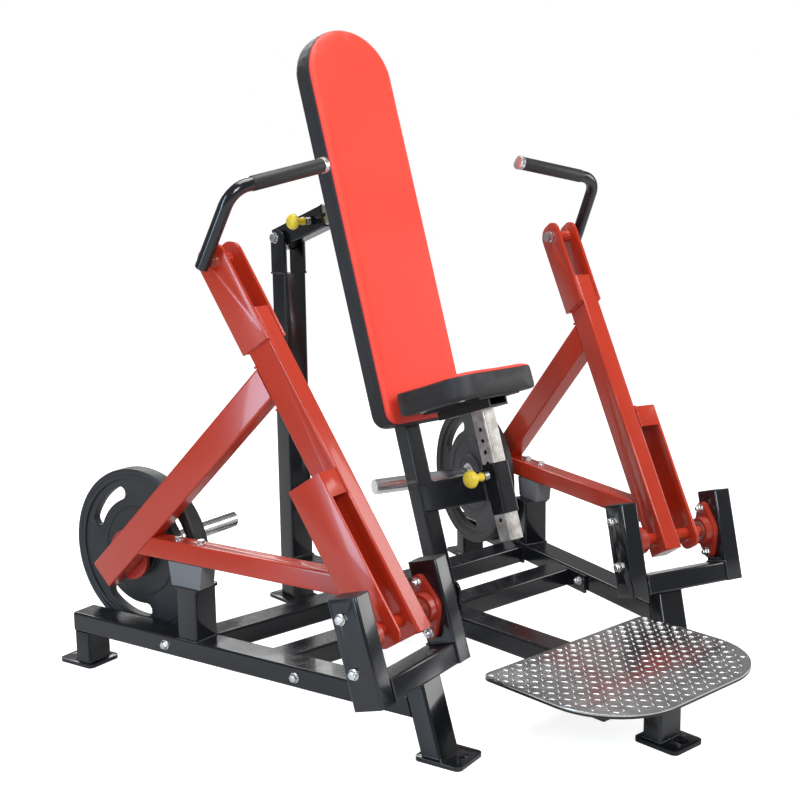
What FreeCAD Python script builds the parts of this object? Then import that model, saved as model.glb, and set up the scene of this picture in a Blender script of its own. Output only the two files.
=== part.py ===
import FreeCAD, Part
import math
import os

import Sketcher
from FreeCAD import Placement, Rotation, Vector

# A plate-loaded seated press. X runs across the machine, +Y to its rear, +Z up. The origin is on
# the floor, midway between the two lever pivots and a little in front of them.

SIZES = {
    # steel sections and fasteners
    "tube_wide": 76.2, "tube_thin": 50.8, "post_deep": 63.5, "tube_wall": 3.0, "tube_corner": 6.0,
    "slide_wall": 2.9, "bolt_radius": 6.0, "head_radius": 10.5, "head_thick": 7.5,
    "washer_thick": 2.0, "hinge_radius": 8.0, "running_gap": 0.05,
    # the two side frames, turned towards each other at the front
    "side_angle": 14.9, "side_offset": 438.0, "rail_top": 140.0, "rail_rear": 1042.0,
    "flange_thick": 8.0, "foot_long": 118.0, "foot_wide": 104.0, "foot_thick": 10.0,
    "foot_hole": 7.0, "foot_corner": 14.0,
    # pivot brackets
    "bracket_tilt": 15.6, "bracket_front": -68.5, "bracket_low": 186.6, "bracket_tall": 238.0,
    "bracket_centre": 44.45, "bracket_half": 177.8, "cap_thick": 3.0,
    # bumper posts and the rubber bumpers that land on them
    "bumper_place": 640.0, "bumper_top": 275.7, "cap_long": 76.0, "cap_wide": 80.0,
    "bumper_tall": 59.0, "bumper_long": 110.0, "bumper_taper": 9.0,
    # cross tubes, spine and foot platform
    "rear_cross": 648.0, "front_cross": 402.0, "cross_top": 134.0, "spine_front": -320.0,
    "platform_half": 290.0, "platform_rear": -60.0, "platform_front": -465.0,
    "platform_thick": 10.0, "platform_round": 180.0, "platform_corner": 24.0,
    "stay_half": 180.0, "stay_front": -330.0,
    # mast
    "mast_front": 979.0, "mast_tall": 983.0, "clevis_thick": 9.5, "clevis_rise": 122.0,
    # levers, measured along (s) and across (n) their main tube from the pivot
    "pivot_rear": 18.0, "pivot_height": 306.0, "lever_tilt": 32.4, "lever_inner": -12.7,
    "lever_front": -42.1, "lever_foot": -43.2, "lever_top": 765.0, "shaft_radius": 15.0,
    "shaft_long": 251.0, "ear_low": 686.0, "ear_top": 948.0, "ear_deep": 86.0,
    "ear_thick": 8.0, "ear_pin": 912.0, "ear_round": 34.0, "bush_radius": 16.0,
    "arm_lean": 45.9, "arm_rear": 956.5, "arm_height": 288.0, "arm_long": 800.0,
    "strut_low": 335.0, "strut_bolt_front": 605.0, "strut_bolt_rear": 677.0,
    "gusset_wide": 63.5, "gusset_deep": 100.1, "gusset_top": 358.0, "gusset_window": 299.0,
    "gusset_plate": 8.0, "gusset_nose": 42.0,
    # pivot bearings
    "housing_reach": 58.5, "housing_tip": 97.5, "housing_brow": 43.9, "housing_end": 16.0,
    "housing_mid": 39.0, "housing_base": 14.0, "housing_boss": 35.0, "housing_deep": 34.0,
    "ring_radius": 26.0,
    # weight horns and plates
    "horn_along": 70.0, "horn_radius": 24.0, "horn_end": 415.0, "horn_flange": 65.0,
    "horn_flange_thick": 10.0, "collar_radius": 35.0, "horn_cap": 14.0, "plate_face": 42.5,
    "plate_radius": 217.5, "plate_thick": 40.0, "plate_bore": 25.5, "plate_rim": 26.0,
    "plate_recess": 8.0, "hub_radius": 62.0, "grip_circle": 158.0, "slot_half": 17.0,
    "slot_sweep": 44.0,
    # handles
    "handle_out": 70.0, "handle_radius": 16.0, "handle_wall": 3.0, "handle_rise": 184.6,
    "handle_lean": 29.0, "handle_bend": 55.0, "grip_reach": 288.8, "grip_turn": 77.0,
    "grip_radius": 18.5, "grip_start": 58.0, "pin_radius": 10.0, "end_radius": 20.0,
    "end_long": 12.0,
    # reclining carriage, measured from its hinge
    "recline_angle": 18.0, "hinge_rear": 368.0, "hinge_height": 175.0, "post_foot": 22.0,
    "post_top": 1200.0, "pad_wide": 284.0, "pad_thick": 66.5, "back_low": 446.0,
    "back_tall": 1064.0, "back_corner": 42.0, "back_round": 141.0, "mount_thick": 5.9,
    "mount_half": 60.0, "seat_arm_low": 214.0, "sleeve_centre": 294.5, "sleeve_low": 176.0,
    "sleeve_long": 127.0, "slide_side": 44.4, "seat_post_low": 109.0, "seat_post_long": 328.0,
    "hole_pitch": 28.5, "hole_radius": 5.5, "seat_pin_up": 275.6, "seat_low": 464.7,
    "seat_thick": 66.0, "seat_rear": 124.0, "seat_long": 265.0, "seat_nose": 62.0,
    "seat_heel": 46.0, "seat_mount": 27.6,
    # brace between mast and carriage
    "brace_long": 293.0, "brace_lug": 48.0, "brace_lug_up": 1066.6, "brace_tail": 24.0,
    "brace_front": 215.0, "brace_pin": 165.0, "slide_rear": 72.0, "slide_front": 309.0,
    "slide_tall": 57.1, "slide_eye": 11.0, "lug_thick": 7.0, "lug_low": 34.0,
    # pull pins
    "barrel_radius": 10.0, "barrel_long": 24.0, "plunger_radius": 5.0, "neck_radius": 11.0,
    "neck_long": 32.0, "knob_radius": 22.0, "knob_long": 26.0,
}

doc = FreeCAD.newDocument("seated_press")
sheet = doc.addObject("Spreadsheet::Sheet", "sizes")
for row, (alias, number) in enumerate(SIZES.items(), start=1):
    sheet.set(f"A{row}", alias)
    sheet.set(f"B{row}", str(number))
    sheet.setAlias(f"B{row}", alias)
doc.recompute()


class Size(float):
    """A length from the sheet that remembers its formula, so that a property can be bound to it."""

    def __new__(cls, number, words):
        size = super().__new__(cls, number)
        size.words = words
        return size

    def joined(self, sign, other, number):
        return Size(number, f"({self.words} {sign} {spelled(other)})")

    def __add__(self, other):
        return self.joined("+", other, float(self) + float(other))

    def __sub__(self, other):
        return self.joined("-", other, float(self) - float(other))

    def __mul__(self, other):
        return self.joined("*", other, float(self) * float(other))

    def __truediv__(self, other):
        return self.joined("/", other, float(self) / float(other))

    def __neg__(self):
        return Size(-float(self), f"(0 - {self.words})")

    def __rsub__(self, other):
        return Size(float(other) - float(self), f"({spelled(other)} - {self.words})")

    __radd__ = __add__
    __rmul__ = __mul__


def spelled(value):
    return value.words if isinstance(value, Size) else repr(float(value))


class Sheet:
    """The sheet's cells by alias."""

    def __getattr__(self, alias):
        return Size(float(sheet.get(alias)), "sizes." + alias)


c = Sheet()
X, Y, Z = Vector(1, 0, 0), Vector(0, 1, 0), Vector(0, 0, 1)
HOME = Placement()
ACROSS = Rotation(Y, 90)                     # turns local Z to X
FACING_X = Rotation(Vector(1, 1, 1), 120)    # turns local X, Y, Z to Y, Z, X
FACING_FRONT = Rotation(X, 90)               # turns local Y, Z to Z, -Y
nodes = []


# ---- building blocks ---------------------------------------------------------------------------

def bind(thing, prop, value):
    if isinstance(value, Size):
        thing.setExpression(prop, value.words)
    else:
        setattr(thing, prop, value)


def primitive(kind, name, place, **sizes):
    thing = doc.addObject("Part::" + kind, name)
    for prop, value in sizes.items():
        bind(thing, prop, value)
    thing.Placement = place
    return thing


def at(corner, frame=HOME, turn=Rotation()):
    return frame.multiply(Placement(Vector(*corner), turn))


def box(name, corner, x, y, z, frame=HOME):
    """A block with its low corner at `corner` of `frame`."""
    return primitive("Box", name, at(corner, frame), Length=x, Width=y, Height=z)


def cylinder(name, start, radius, height, frame=HOME, turn=Rotation(), sweep=360):
    return primitive("Cylinder", name, at(start, frame, turn), Radius=radius, Height=height,
                     Angle=sweep)


def cone(name, start, radius, end_radius, height, frame=HOME, turn=Rotation()):
    return primitive("Cone", name, at(start, frame, turn), Radius1=radius, Radius2=end_radius,
                     Height=height)


def fuse(name, pieces):
    whole = doc.addObject("Part::MultiFuse", name)
    whole.Shapes = pieces
    whole.Refine = True
    return whole


def cut(name, base, tools):
    rest = doc.addObject("Part::Cut", name)
    rest.Base = base
    rest.Tool = tools[0] if len(tools) == 1 else fuse(name + "_tools", tools)
    return rest


def edges_along(shape, home, axis, keep=None):
    """The numbers of the straight edges that run along `axis` of `home` and pass `keep`."""
    back = home.inverse()
    chosen = []
    for number, edge in enumerate(shape.Edges, start=1):
        ends = [back.multVec(vertex.Point) for vertex in edge.Vertexes]
        if len(ends) != 2 or edge.Curve.TypeId != "Part::GeomLine":
            continue
        run = ends[1] - ends[0]
        if abs(run.dot(axis)) > 0.999 * run.Length and (keep is None or keep(ends[0])):
            chosen.append(number)
    return chosen


def rounded(name, base, radius, axis, keep=None):
    doc.recompute()
    softened = doc.addObject("Part::Fillet", name)
    softened.Base = base
    numbers = edges_along(base.Shape, base.Placement, axis, keep)
    softened.Edges = [(number, float(radius), float(radius)) for number in numbers]
    return softened


def tube(name, corner, x, y, z, along, frame=HOME, closed=(False, False), wall=c.tube_wall):
    """A rectangular tube with rounded corners along one axis; `closed` walls its two ends."""
    outer = box(name + "_outer", corner, x, y, z, frame)
    skin = rounded(name + "_skin", outer, c.tube_corner, along)
    inside, low = [], []
    for size, axis, start in zip((x, y, z), (X, Y, Z), corner):
        if axis == along:
            inside.append(size - (closed[0] + closed[1]) * wall if any(closed) else size)
            low.append(start + wall if closed[0] else start)
        else:
            inside.append(size - 2 * wall)
            low.append(start + wall)
    return cut(name + "_hollow", skin, [box(name + "_bore", low, *inside, frame)])


def plate(name, corners, thick, holes=(), soften=(), frame=HOME):
    """A plate: a sketched outline with round holes, padded along its local Z, corners rounded.

    `corners` are the outline's points, `holes` are (x, y, radius), and `soften` pairs a radius
    with a test of the corner's place.
    """
    body = doc.addObject("PartDesign::Body", name)
    sketch = body.newObject("Sketcher::SketchObject", name + "_outline")
    floor = [one for one in body.Origin.OriginFeatures if one.Role == "XY_Plane"][0]
    sketch.AttachmentSupport = (floor, [""])
    sketch.MapMode = "FlatFace"
    points = [Vector(float(x), float(y), 0) for x, y in corners]
    for start, end in zip(points, points[1:] + points[:1]):
        sketch.addGeometry(Part.LineSegment(start, end))

    def measure(kind, place, value):
        number = sketch.addConstraint(Sketcher.Constraint(kind, *place, float(value)))
        if isinstance(value, Size):
            sketch.setExpression(f"Constraints[{number}]", value.words)

    for i, (x, y) in enumerate(corners):
        before = (i - 1) % len(corners)
        sketch.addConstraint(Sketcher.Constraint("Coincident", before, 2, i, 1))
        measure("DistanceX", (-1, 1, i, 1), x)
        measure("DistanceY", (-1, 1, i, 1), y)
    for x, y, radius in holes:
        centre = Vector(float(x), float(y), 0)
        hole = sketch.addGeometry(Part.Circle(centre, Z, float(radius)))
        measure("DistanceX", (-1, 1, hole, 3), x)
        measure("DistanceY", (-1, 1, hole, 3), y)
        measure("Radius", (hole,), radius)

    pad = body.newObject("PartDesign::Pad", name + "_pad")
    pad.Profile = sketch
    pad.setExpression("Length", spelled(thick))
    for i, (radius, keep) in enumerate(soften):
        doc.recompute()
        base = body.Tip
        numbers = edges_along(base.Shape, HOME, Z, keep)
        corner = body.newObject("PartDesign::Fillet", f"{name}_corner_{i}")
        corner.Base = (base, [f"Edge{number}" for number in numbers])
        bind(corner, "Radius", radius)
    body.Placement = frame
    return body


def everywhere(place):
    return True


def rectangle(low_x, low_y, high_x, high_y):
    return [(low_x, low_y), (high_x, low_y), (high_x, high_y), (low_x, high_y)]


def bolt(name, start, grip, frame=HOME, turn=ACROSS, radius=c.bolt_radius, head=c.head_radius):
    """A hex bolt along the turned Z: its head lies before `start`, its nut `grip` further on."""
    here = at(start, frame, turn)
    parts = [cylinder(name + "_shank", (0, 0, 0), radius, grip, here)]
    reach = c.head_thick + c.washer_thick
    for end, hex_low, washer_low in (("head", -reach, -c.washer_thick),
                                     ("nut", grip + c.washer_thick, grip)):
        hexagon = primitive("Prism", f"{name}_{end}", at((0, 0, hex_low), here),
                            Polygon=6, Circumradius=head, Height=c.head_thick)
        washer = cylinder(f"{name}_{end}_washer", (0, 0, washer_low), head + 2, c.washer_thick,
                          here)
        parts += [hexagon, washer]
    return fuse(name, parts)


def node(label, pieces, frame=HOME):
    """Gathers finished pieces as one sub-part, set in the machine by its own Placement."""
    part = doc.addObject("Part::Compound", "node_" + label)
    part.Links = pieces
    part.Label = label
    part.Placement = frame
    nodes.append(part)


def tilted(y, z, degrees):
    """A frame in the YZ plane whose Z leans to the rear by `degrees`."""
    return Placement(Vector(0, y, z), Rotation(X, -degrees))


# ---- frames ------------------------------------------------------------------------------------

BRACKET = tilted(c.bracket_front, c.bracket_low, c.bracket_tilt)
LEVER = tilted(c.pivot_rear, c.pivot_height, c.lever_tilt)
ARM = tilted(c.arm_rear, c.arm_height, -c.arm_lean)
RECLINE = tilted(c.hinge_rear, c.hinge_height, c.recline_angle)
BRACE_LEAN = Rotation(X, 90 - c.recline_angle)
BRACE_HINGE = RECLINE.multVec(Vector(0, c.brace_lug + c.brace_long, c.brace_lug_up))
BRACE = Placement(BRACE_HINGE, BRACE_LEAN)

RAIL_LOW = c.rail_top - c.tube_thin
HALF = c.tube_wide / 2
THIN = c.tube_thin / 2
LEVER_OUTER = c.lever_inner + c.tube_thin
UPRIGHT_INNER = c.bracket_centre - c.bracket_half
UPRIGHT_OUTER = c.bracket_centre + c.bracket_half
SIDES = ((-1, "left"), (1, "right"))


def side_frame(side):
    """A side frame has x outboard times `side`, y to the rear along its rail, and z up."""
    return Placement(Vector(side * c.side_offset, 0, 0), Rotation(Z, -side * c.side_angle))


def low(side, inner, outer):
    """The low x of something that reaches from `inner` to `outer`, measured outboard."""
    return inner if side > 0 else -outer


def foot(name, y, hole_y):
    """A welded foot centred on x = 0 with rounded corners and one hole for a floor bolt."""
    outline = rectangle(-c.foot_wide / 2, 0, c.foot_wide / 2, c.foot_long)
    return plate(name, outline, c.foot_thick, holes=[(0, hole_y, c.foot_hole)],
                 soften=[(c.foot_corner, everywhere)], frame=at((0, y, 0)))


# ---- side frames -------------------------------------------------------------------------------

RAIL_BOLTS = (307.0, 716.0)
FLANGES = {"front": (282.0, 172.0), "rear": (612.0, 123.0)}
HOUSING_UP = Rotation(X, -c.bracket_tilt).multVec(Z)
HOUSING_BOLTS = [Vector(0, c.pivot_rear, c.pivot_height) + HOUSING_UP * (k * c.housing_reach)
                 for k in (-1, 1)]


def side_rail(side, word):
    rail = tube(f"{word}_rail_tube", (-HALF, -60, RAIL_LOW), c.tube_wide, c.rail_rear + 60,
                c.tube_thin, Y, closed=(False, True))
    ahead = box(f"{word}_rail_ahead", (-60, c.tube_wide - 300, -260), 120, 300, 520, BRACKET)
    holes = [cylinder(f"{word}_rail_hole_{i}", (-60, y, RAIL_LOW + THIN), c.bolt_radius, 120,
                      turn=ACROSS) for i, y in enumerate(RAIL_BOLTS)]
    node(f"{word}_rail", [cut(f"{word}_rail_body", rail, [ahead] + holes)], side_frame(side))


def rear_leg(side, word):
    post = tube(f"{word}_rear_post", (-HALF, c.rail_rear - c.tube_thin, c.foot_thick),
                c.tube_wide, c.tube_thin, RAIL_LOW - c.foot_thick, Z)
    sole = foot(f"{word}_rear_sole", c.rail_rear - 68.5, 92.5)
    node(f"{word}_rear_leg", [fuse(f"{word}_rear_weld", [post, sole])], side_frame(side))


def front_leg(side, word):
    leg = tube(f"{word}_front_tube", (-HALF, c.tube_wide - c.tube_thin, -240), c.tube_wide,
               c.tube_thin, 240, Z, BRACKET, closed=(False, True))
    ground = box(f"{word}_front_ground", (-100, -300, -200), 200, 400, 200 + c.foot_thick)
    sole = foot(f"{word}_front_sole", -147, 24)
    weld = fuse(f"{word}_front_weld", [cut(f"{word}_front_post", leg, [ground]), sole])
    node(f"{word}_front_leg", [weld], side_frame(side))


def pivot_bracket(side, word):
    pieces = []
    for name, v in (("inner", UPRIGHT_INNER), ("outer", UPRIGHT_OUTER - c.tube_thin)):
        pieces.append(tube(f"{word}_{name}_upright", (low(side, v, v + c.tube_thin), 0, 0),
                           c.tube_thin, c.tube_wide, c.bracket_tall, Z, BRACKET,
                           closed=(True, False)))
    inside = low(side, UPRIGHT_INNER + c.tube_thin, UPRIGHT_OUTER - c.tube_thin)
    pieces.append(tube(f"{word}_bracket_base", (inside, 0, 0),
                       2 * c.bracket_half - 2 * c.tube_thin, c.tube_wide, c.tube_thin, X,
                       BRACKET))
    holes = [cylinder(f"{word}_bracket_hole_{i}", (-300, place.y, place.z), c.bolt_radius, 600,
                      turn=ACROSS) for i, place in enumerate(HOUSING_BOLTS)]
    weld = fuse(f"{word}_bracket_weld", pieces)
    node(f"{word}_pivot_bracket", [cut(f"{word}_bracket_drilled", weld, holes)],
         side_frame(side))


def bumper_post(side, word):
    post = tube(f"{word}_stop_tube", (-HALF, c.bumper_place - c.post_deep / 2, c.rail_top),
                c.tube_wide, c.post_deep, c.bumper_top - c.rail_top - c.flange_thick, Z)
    lid = plate(f"{word}_stop_lid", rectangle(-c.cap_wide / 2, -c.cap_long / 2, c.cap_wide / 2,
                                              c.cap_long / 2), c.flange_thick,
                soften=[(5, everywhere)],
                frame=at((0, c.bumper_place, c.bumper_top - c.flange_thick)))
    node(f"{word}_bumper_post", [fuse(f"{word}_stop_weld", [post, lid])], side_frame(side))


def bracket_caps(side, word):
    caps = []
    for name, v in (("inner", UPRIGHT_INNER), ("outer", UPRIGHT_OUTER - c.tube_thin)):
        place = at((low(side, v, v + c.tube_thin), 0, c.bracket_tall),
                   side_frame(side).multiply(BRACKET))
        caps.append(plate(f"{word}_{name}_cap", rectangle(0, 0, c.tube_thin, c.tube_wide),
                          c.cap_thick, soften=[(c.tube_corner, everywhere)], frame=place))
    return caps


def cross_tube(side, word, end, y):
    """Half a cross tube: from the spine's side to a bolted flange on one rail."""
    name = f"{end}_cross_{word}"
    frame = side_frame(side)
    bottom = c.cross_top - c.tube_thin
    inner_face = -HALF - c.flange_thick
    run = tube(name + "_tube", (HALF if side > 0 else -HALF - 520, y - HALF, bottom), 520,
               c.tube_wide, c.tube_thin, X)
    beyond = box(name + "_beyond", (low(side, inner_face, 400), -200, -100), 400 - inner_face,
                 1600, 400, frame)
    start, length = FLANGES[end]
    flange = box(name + "_flange", (low(side, inner_face, -HALF), start, bottom),
                 c.flange_thick, length, c.tube_thin, frame)
    weld = fuse(name + "_weld", [cut(name + "_mitre", run, [beyond]), flange])
    holes = [cylinder(f"{name}_hole_{i}", (-60, place, RAIL_LOW + THIN), c.bolt_radius, 120,
                      frame, ACROSS) for i, place in enumerate(RAIL_BOLTS)]
    return cut(name, weld, holes)


def rail_bolts(side, word):
    """The flange bolts have their heads on the rail's outer face."""
    frame = side_frame(side)
    way = Rotation(Y, -90 * side)
    grip = c.tube_wide + c.flange_thick
    return [bolt(f"{word}_rail_bolt_{i}", (side * HALF, y, RAIL_LOW + THIN), grip, frame, way)
            for i, y in enumerate(RAIL_BOLTS)]


# ---- pivot bearings ----------------------------------------------------------------------------

def bearing_housing(name, side, face, way):
    """A rhombus flange housing on an upright's face at `face`; its boss points `way` outboard."""
    centre = Vector(side * face, c.pivot_rear, c.pivot_height)
    along = Rotation(Y, 90 * way * side)
    square = Placement(centre, Rotation(X, -c.bracket_tilt).multiply(along))
    here = side_frame(side).multiply(square)
    tip, brow = c.housing_tip, c.housing_brow
    holes = [(reach, 0, c.bolt_radius) for reach in (-c.housing_reach, c.housing_reach)]
    web = plate(name + "_web", [(tip, 0), (0, brow), (-tip, 0), (0, -brow)], c.housing_base,
                holes=holes,
                soften=[(c.housing_end, lambda place: abs(place.x) > 50),
                        (c.housing_mid, lambda place: abs(place.y) > 40)], frame=here)
    boss = cone(name + "_boss", (0, 0, 0), c.housing_boss + 3, c.housing_boss, c.housing_deep,
                here)
    seat = cylinder(name + "_seat", (0, 0, -1), c.ring_radius + c.running_gap,
                    c.housing_deep + 2, here)
    return cut(name, fuse(name + "_cast", [web, boss]), [seat])


def housing_bolts(name, side, face, way):
    """The heads are on the upright's far face, the nuts on the housing's flange."""
    grip = c.tube_thin + c.housing_base
    turn = Rotation(Y, 90 * way * side)
    start = side * (face - way * c.tube_thin)
    return [bolt(f"{name}_{i}", (start, place.y, place.z), grip, side_frame(side), turn)
            for i, place in enumerate(HOUSING_BOLTS)]


BEARINGS = (("inner", UPRIGHT_INNER + c.tube_thin, 1), ("outer", UPRIGHT_OUTER - c.tube_thin, -1))


# ---- levers ------------------------------------------------------------------------------------

def tilt_in(side, frame):
    return side_frame(side).multiply(frame)


def main_tube(side, word):
    here = low(side, c.lever_inner, LEVER_OUTER)
    body = tube(f"{word}_lever_tube", (here, c.lever_front, c.lever_foot), c.tube_thin,
                c.tube_wide, c.lever_top - c.lever_foot, Z, closed=(True, True))
    hole = cylinder(f"{word}_lever_bore", (-60, 0, 0), c.shaft_radius, 120, turn=ACROSS)
    node(f"{word}_main_tube", [cut(f"{word}_lever_bored", body, [hole])], tilt_in(side, LEVER))


def back_arm(side, word):
    """The arm runs up and forward from the horn to the main tube."""
    arm = tube(f"{word}_arm_tube", (low(side, c.lever_inner, LEVER_OUTER), -c.tube_wide, 0),
               c.tube_thin, c.tube_wide, c.arm_long, Z, ARM, closed=(True, False))
    ahead = box(f"{word}_arm_ahead", (-200, -500, -200),
                400, c.lever_front + c.tube_wide + 500, 1600, LEVER)
    node(f"{word}_back_arm", [cut(f"{word}_arm_mitre", arm, [ahead])], side_frame(side))


def lever_strut(side, word):
    """A level tube between the main tube and the arm, mitred to both."""
    start = c.pivot_rear
    bar = tube(f"{word}_strut_tube", (low(side, c.lever_inner, LEVER_OUTER), start, c.strut_low),
               c.tube_thin, 900, c.tube_thin, Y)
    ahead = box(f"{word}_strut_ahead", (-200, -500, -200),
                400, c.lever_front + c.tube_wide + 500, 1600, LEVER)
    behind = box(f"{word}_strut_behind", (-200, -c.tube_wide, -300), 400, 900, 1600, ARM)
    holes = stud_holes(side, f"{word}_strut")
    node(f"{word}_strut", [cut(f"{word}_strut_mitre", bar, [ahead, behind] + holes)],
         side_frame(side))


STUDS = (c.strut_bolt_front, c.strut_bolt_rear)
STUD_LONG = c.tube_thin + 20


def stud_holes(side, name):
    centre = side * (c.lever_inner + THIN)
    return [cylinder(f"{name}_stud_{i}", (centre, y, c.strut_low - 20), c.bolt_radius,
                     STUD_LONG) for i, y in enumerate(STUDS)]


def bumper(side, word):
    """A tapered rubber block under the strut."""
    half, taper, tall = c.bumper_long / 2, c.bumper_taper, c.bumper_tall
    outline = [(-half, tall), (taper - half, 0), (half - taper, 0), (half, tall)]
    place = at((low(side, c.lever_inner, LEVER_OUTER), c.bumper_place - 2, c.strut_low - tall),
               turn=FACING_X)
    block = plate(f"{word}_bumper_block", outline, c.tube_thin, frame=place)
    holes = stud_holes(side, f"{word}_bumper")
    node(f"{word}_bumper", [cut(f"{word}_bumper_drilled", block, holes)], side_frame(side))


def bumper_bolts(side, word):
    centre = side * (c.lever_inner + THIN)
    top = c.strut_low + c.tube_thin
    studs = []
    for i, y in enumerate(STUDS):
        name = f"{word}_bumper_bolt_{i}"
        shank = cylinder(name + "_shank", (centre, y, c.strut_low - 20), c.bolt_radius,
                         STUD_LONG)
        washer = cylinder(name + "_washer", (centre, y, top), c.head_radius + 2, c.washer_thick)
        head = primitive("Prism", name + "_head", at((centre, y, top + c.washer_thick)),
                         Polygon=6, Circumradius=c.head_radius, Height=c.head_thick)
        studs.append(fuse(name, [shank, washer, head]))
    node(f"{word}_bumper_bolts", studs, side_frame(side))


def gusset(side, word):
    """A folded box on the lever's outer face that ties the shaft's outer end to the tube."""
    skin = c.gusset_plate
    rear = c.lever_front + c.gusset_deep
    outer = LEVER_OUTER + c.gusset_wide
    face = at((low(side, outer - skin, outer), 0, 0), turn=FACING_X)
    nose = c.gusset_nose
    outline = [(c.lever_front, c.gusset_top), (c.lever_front, -nose), (nose * 0.55, -nose),
               (rear, nose * 0.8), (rear, c.gusset_top)]
    side_plate = plate(f"{word}_gusset_face", outline, skin, holes=[(0, 0, c.shaft_radius)],
                       soften=[(nose * 0.62, lambda place: place.y < -20)], frame=face)
    start = low(side, LEVER_OUTER, outer)
    wide = c.gusset_wide
    lid = box(f"{word}_gusset_lid", (start, c.lever_front, c.gusset_top - skin), wide,
              c.gusset_deep, skin)
    strip = box(f"{word}_gusset_strip", (start, c.lever_front, c.gusset_window), wide, skin,
                c.gusset_top - c.gusset_window)
    back = box(f"{word}_gusset_back", (start, rear - skin, 60), wide, skin, c.gusset_top - 60)
    weld = fuse(f"{word}_gusset_weld", [side_plate, lid, strip, back])
    node(f"{word}_gusset", [weld], tilt_in(side, LEVER))


def ears(side, word):
    """Two plates on the lever's top with a bushing between them for the handle's pin."""
    rear = c.lever_front + c.ear_deep
    outline = [(c.lever_front, c.ear_low), (rear, c.ear_low), (rear, c.ear_top),
               (c.lever_front, c.ear_top)]
    pieces = []
    for name, v in (("inner", c.lever_inner - c.ear_thick), ("outer", LEVER_OUTER)):
        face = at((low(side, v, v + c.ear_thick), 0, 0), turn=FACING_X)
        pieces.append(plate(f"{word}_{name}_ear", outline, c.ear_thick,
                            holes=[(1, c.ear_pin, c.pin_radius + c.running_gap)],
                            soften=[(c.ear_round, lambda place: place.y > 900)], frame=face))
    tube_outer = cylinder(f"{word}_bush_outer",
                          (low(side, c.lever_inner, LEVER_OUTER), 1, c.ear_pin),
                          c.bush_radius, c.tube_thin, turn=ACROSS)
    pin = cylinder(f"{word}_bush_bore", (-100, 1, c.ear_pin), c.pin_radius + c.running_gap, 200,
                   turn=ACROSS)
    bush = cut(f"{word}_bush", tube_outer, [pin])
    node(f"{word}_ears", [fuse(f"{word}_ears_weld", pieces + [bush])], tilt_in(side, LEVER))


def pivot_shaft(side, word):
    start = low(side, c.bracket_centre - c.shaft_long / 2, c.bracket_centre + c.shaft_long / 2)
    shaft = cylinder(f"{word}_shaft", (start, 0, 0), c.shaft_radius, c.shaft_long, turn=ACROSS)
    node(f"{word}_pivot_shaft", [shaft], tilt_in(side, LEVER))


def bearing_rings(side, word):
    rings = []
    for name, face, way in BEARINGS:
        near = face + way * 2
        far = face + way * (c.housing_deep + 2)
        start = low(side, near if way > 0 else far, far if way > 0 else near)
        ring = cylinder(f"{word}_{name}_ring", (start, 0, 0), c.ring_radius, c.housing_deep,
                        turn=ACROSS)
        bore = cylinder(f"{word}_{name}_ring_bore", (-300, 0, 0), c.shaft_radius, 600,
                        turn=ACROSS)
        rings.append(cut(f"{word}_{name}_inner_ring", ring, [bore]))
    node(f"{word}_bearing_rings", rings, tilt_in(side, LEVER))


def horn_frame(side):
    """The horn's axis, with local Z pointing inboard from the arm's inner face."""
    return tilt_in(side, at((side * c.lever_inner, -HALF, c.horn_along), ARM,
                            Rotation(Y, -90 * side)))


def weight_horn(side, word):
    """A chrome bar with a flange and a stop collar at its root and a cap on its end."""
    long = c.horn_end + c.lever_inner
    flange = cylinder(f"{word}_horn_flange", (0, 0, 0), c.horn_flange, c.horn_flange_thick)
    collar = cylinder(f"{word}_horn_collar", (0, 0, 0), c.collar_radius,
                      c.plate_face + c.lever_inner - 0.3)
    bar = cylinder(f"{word}_horn_bar", (0, 0, 0), c.horn_radius, long - c.horn_cap)
    tip = cylinder(f"{word}_horn_tip", (0, 0, long - c.horn_cap), c.horn_radius - 0.5,
                   c.horn_cap)
    node(f"{word}_weight_horn", [fuse(f"{word}_horn_weld", [flange, collar, bar]), tip],
         horn_frame(side))


def weight_plate(side, word):
    """A rubber disc with a raised rim and hub and three curved hand slots."""
    disc = cylinder(f"{word}_plate_disc", (0, 0, 0), c.plate_radius, c.plate_thick)
    tools = [cylinder(f"{word}_plate_bore", (0, 0, -1), c.plate_bore, c.plate_thick + 2)]
    for name, z in (("near", -c.plate_recess), ("far", c.plate_thick - c.plate_recess)):
        ring = cylinder(f"{word}_plate_{name}_dish", (0, 0, z), c.plate_radius - c.plate_rim,
                        2 * c.plate_recess)
        hub = cylinder(f"{word}_plate_{name}_hub", (0, 0, z - 1), c.hub_radius,
                       2 * c.plate_recess + 2)
        tools.append(cut(f"{word}_plate_{name}_recess", ring, [hub]))
    for i in range(3):
        start = 120 * i - c.slot_sweep / 2 + 90
        turn = Rotation(Z, start)
        outer = cylinder(f"{word}_slot_{i}_outer", (0, 0, -1), c.grip_circle + c.slot_half,
                         c.plate_thick + 2, turn=turn, sweep=c.slot_sweep)
        inner = cylinder(f"{word}_slot_{i}_inner", (0, 0, -2), c.grip_circle - c.slot_half,
                         c.plate_thick + 4)
        slot = [cut(f"{word}_slot_{i}_arc", outer, [inner])]
        for end, degrees in (("start", start), ("end", start + c.slot_sweep)):
            place = Rotation(Z, degrees).multVec(Vector(c.grip_circle, 0, -1))
            slot.append(cylinder(f"{word}_slot_{i}_{end}", place, c.slot_half,
                                 c.plate_thick + 2))
        tools += slot
    seat = at((0, 0, c.plate_face + c.lever_inner), horn_frame(side))
    node(f"{word}_weight_plate", [cut(f"{word}_plate_cast", disc, tools)], seat)


# ---- handles -----------------------------------------------------------------------------------

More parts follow.
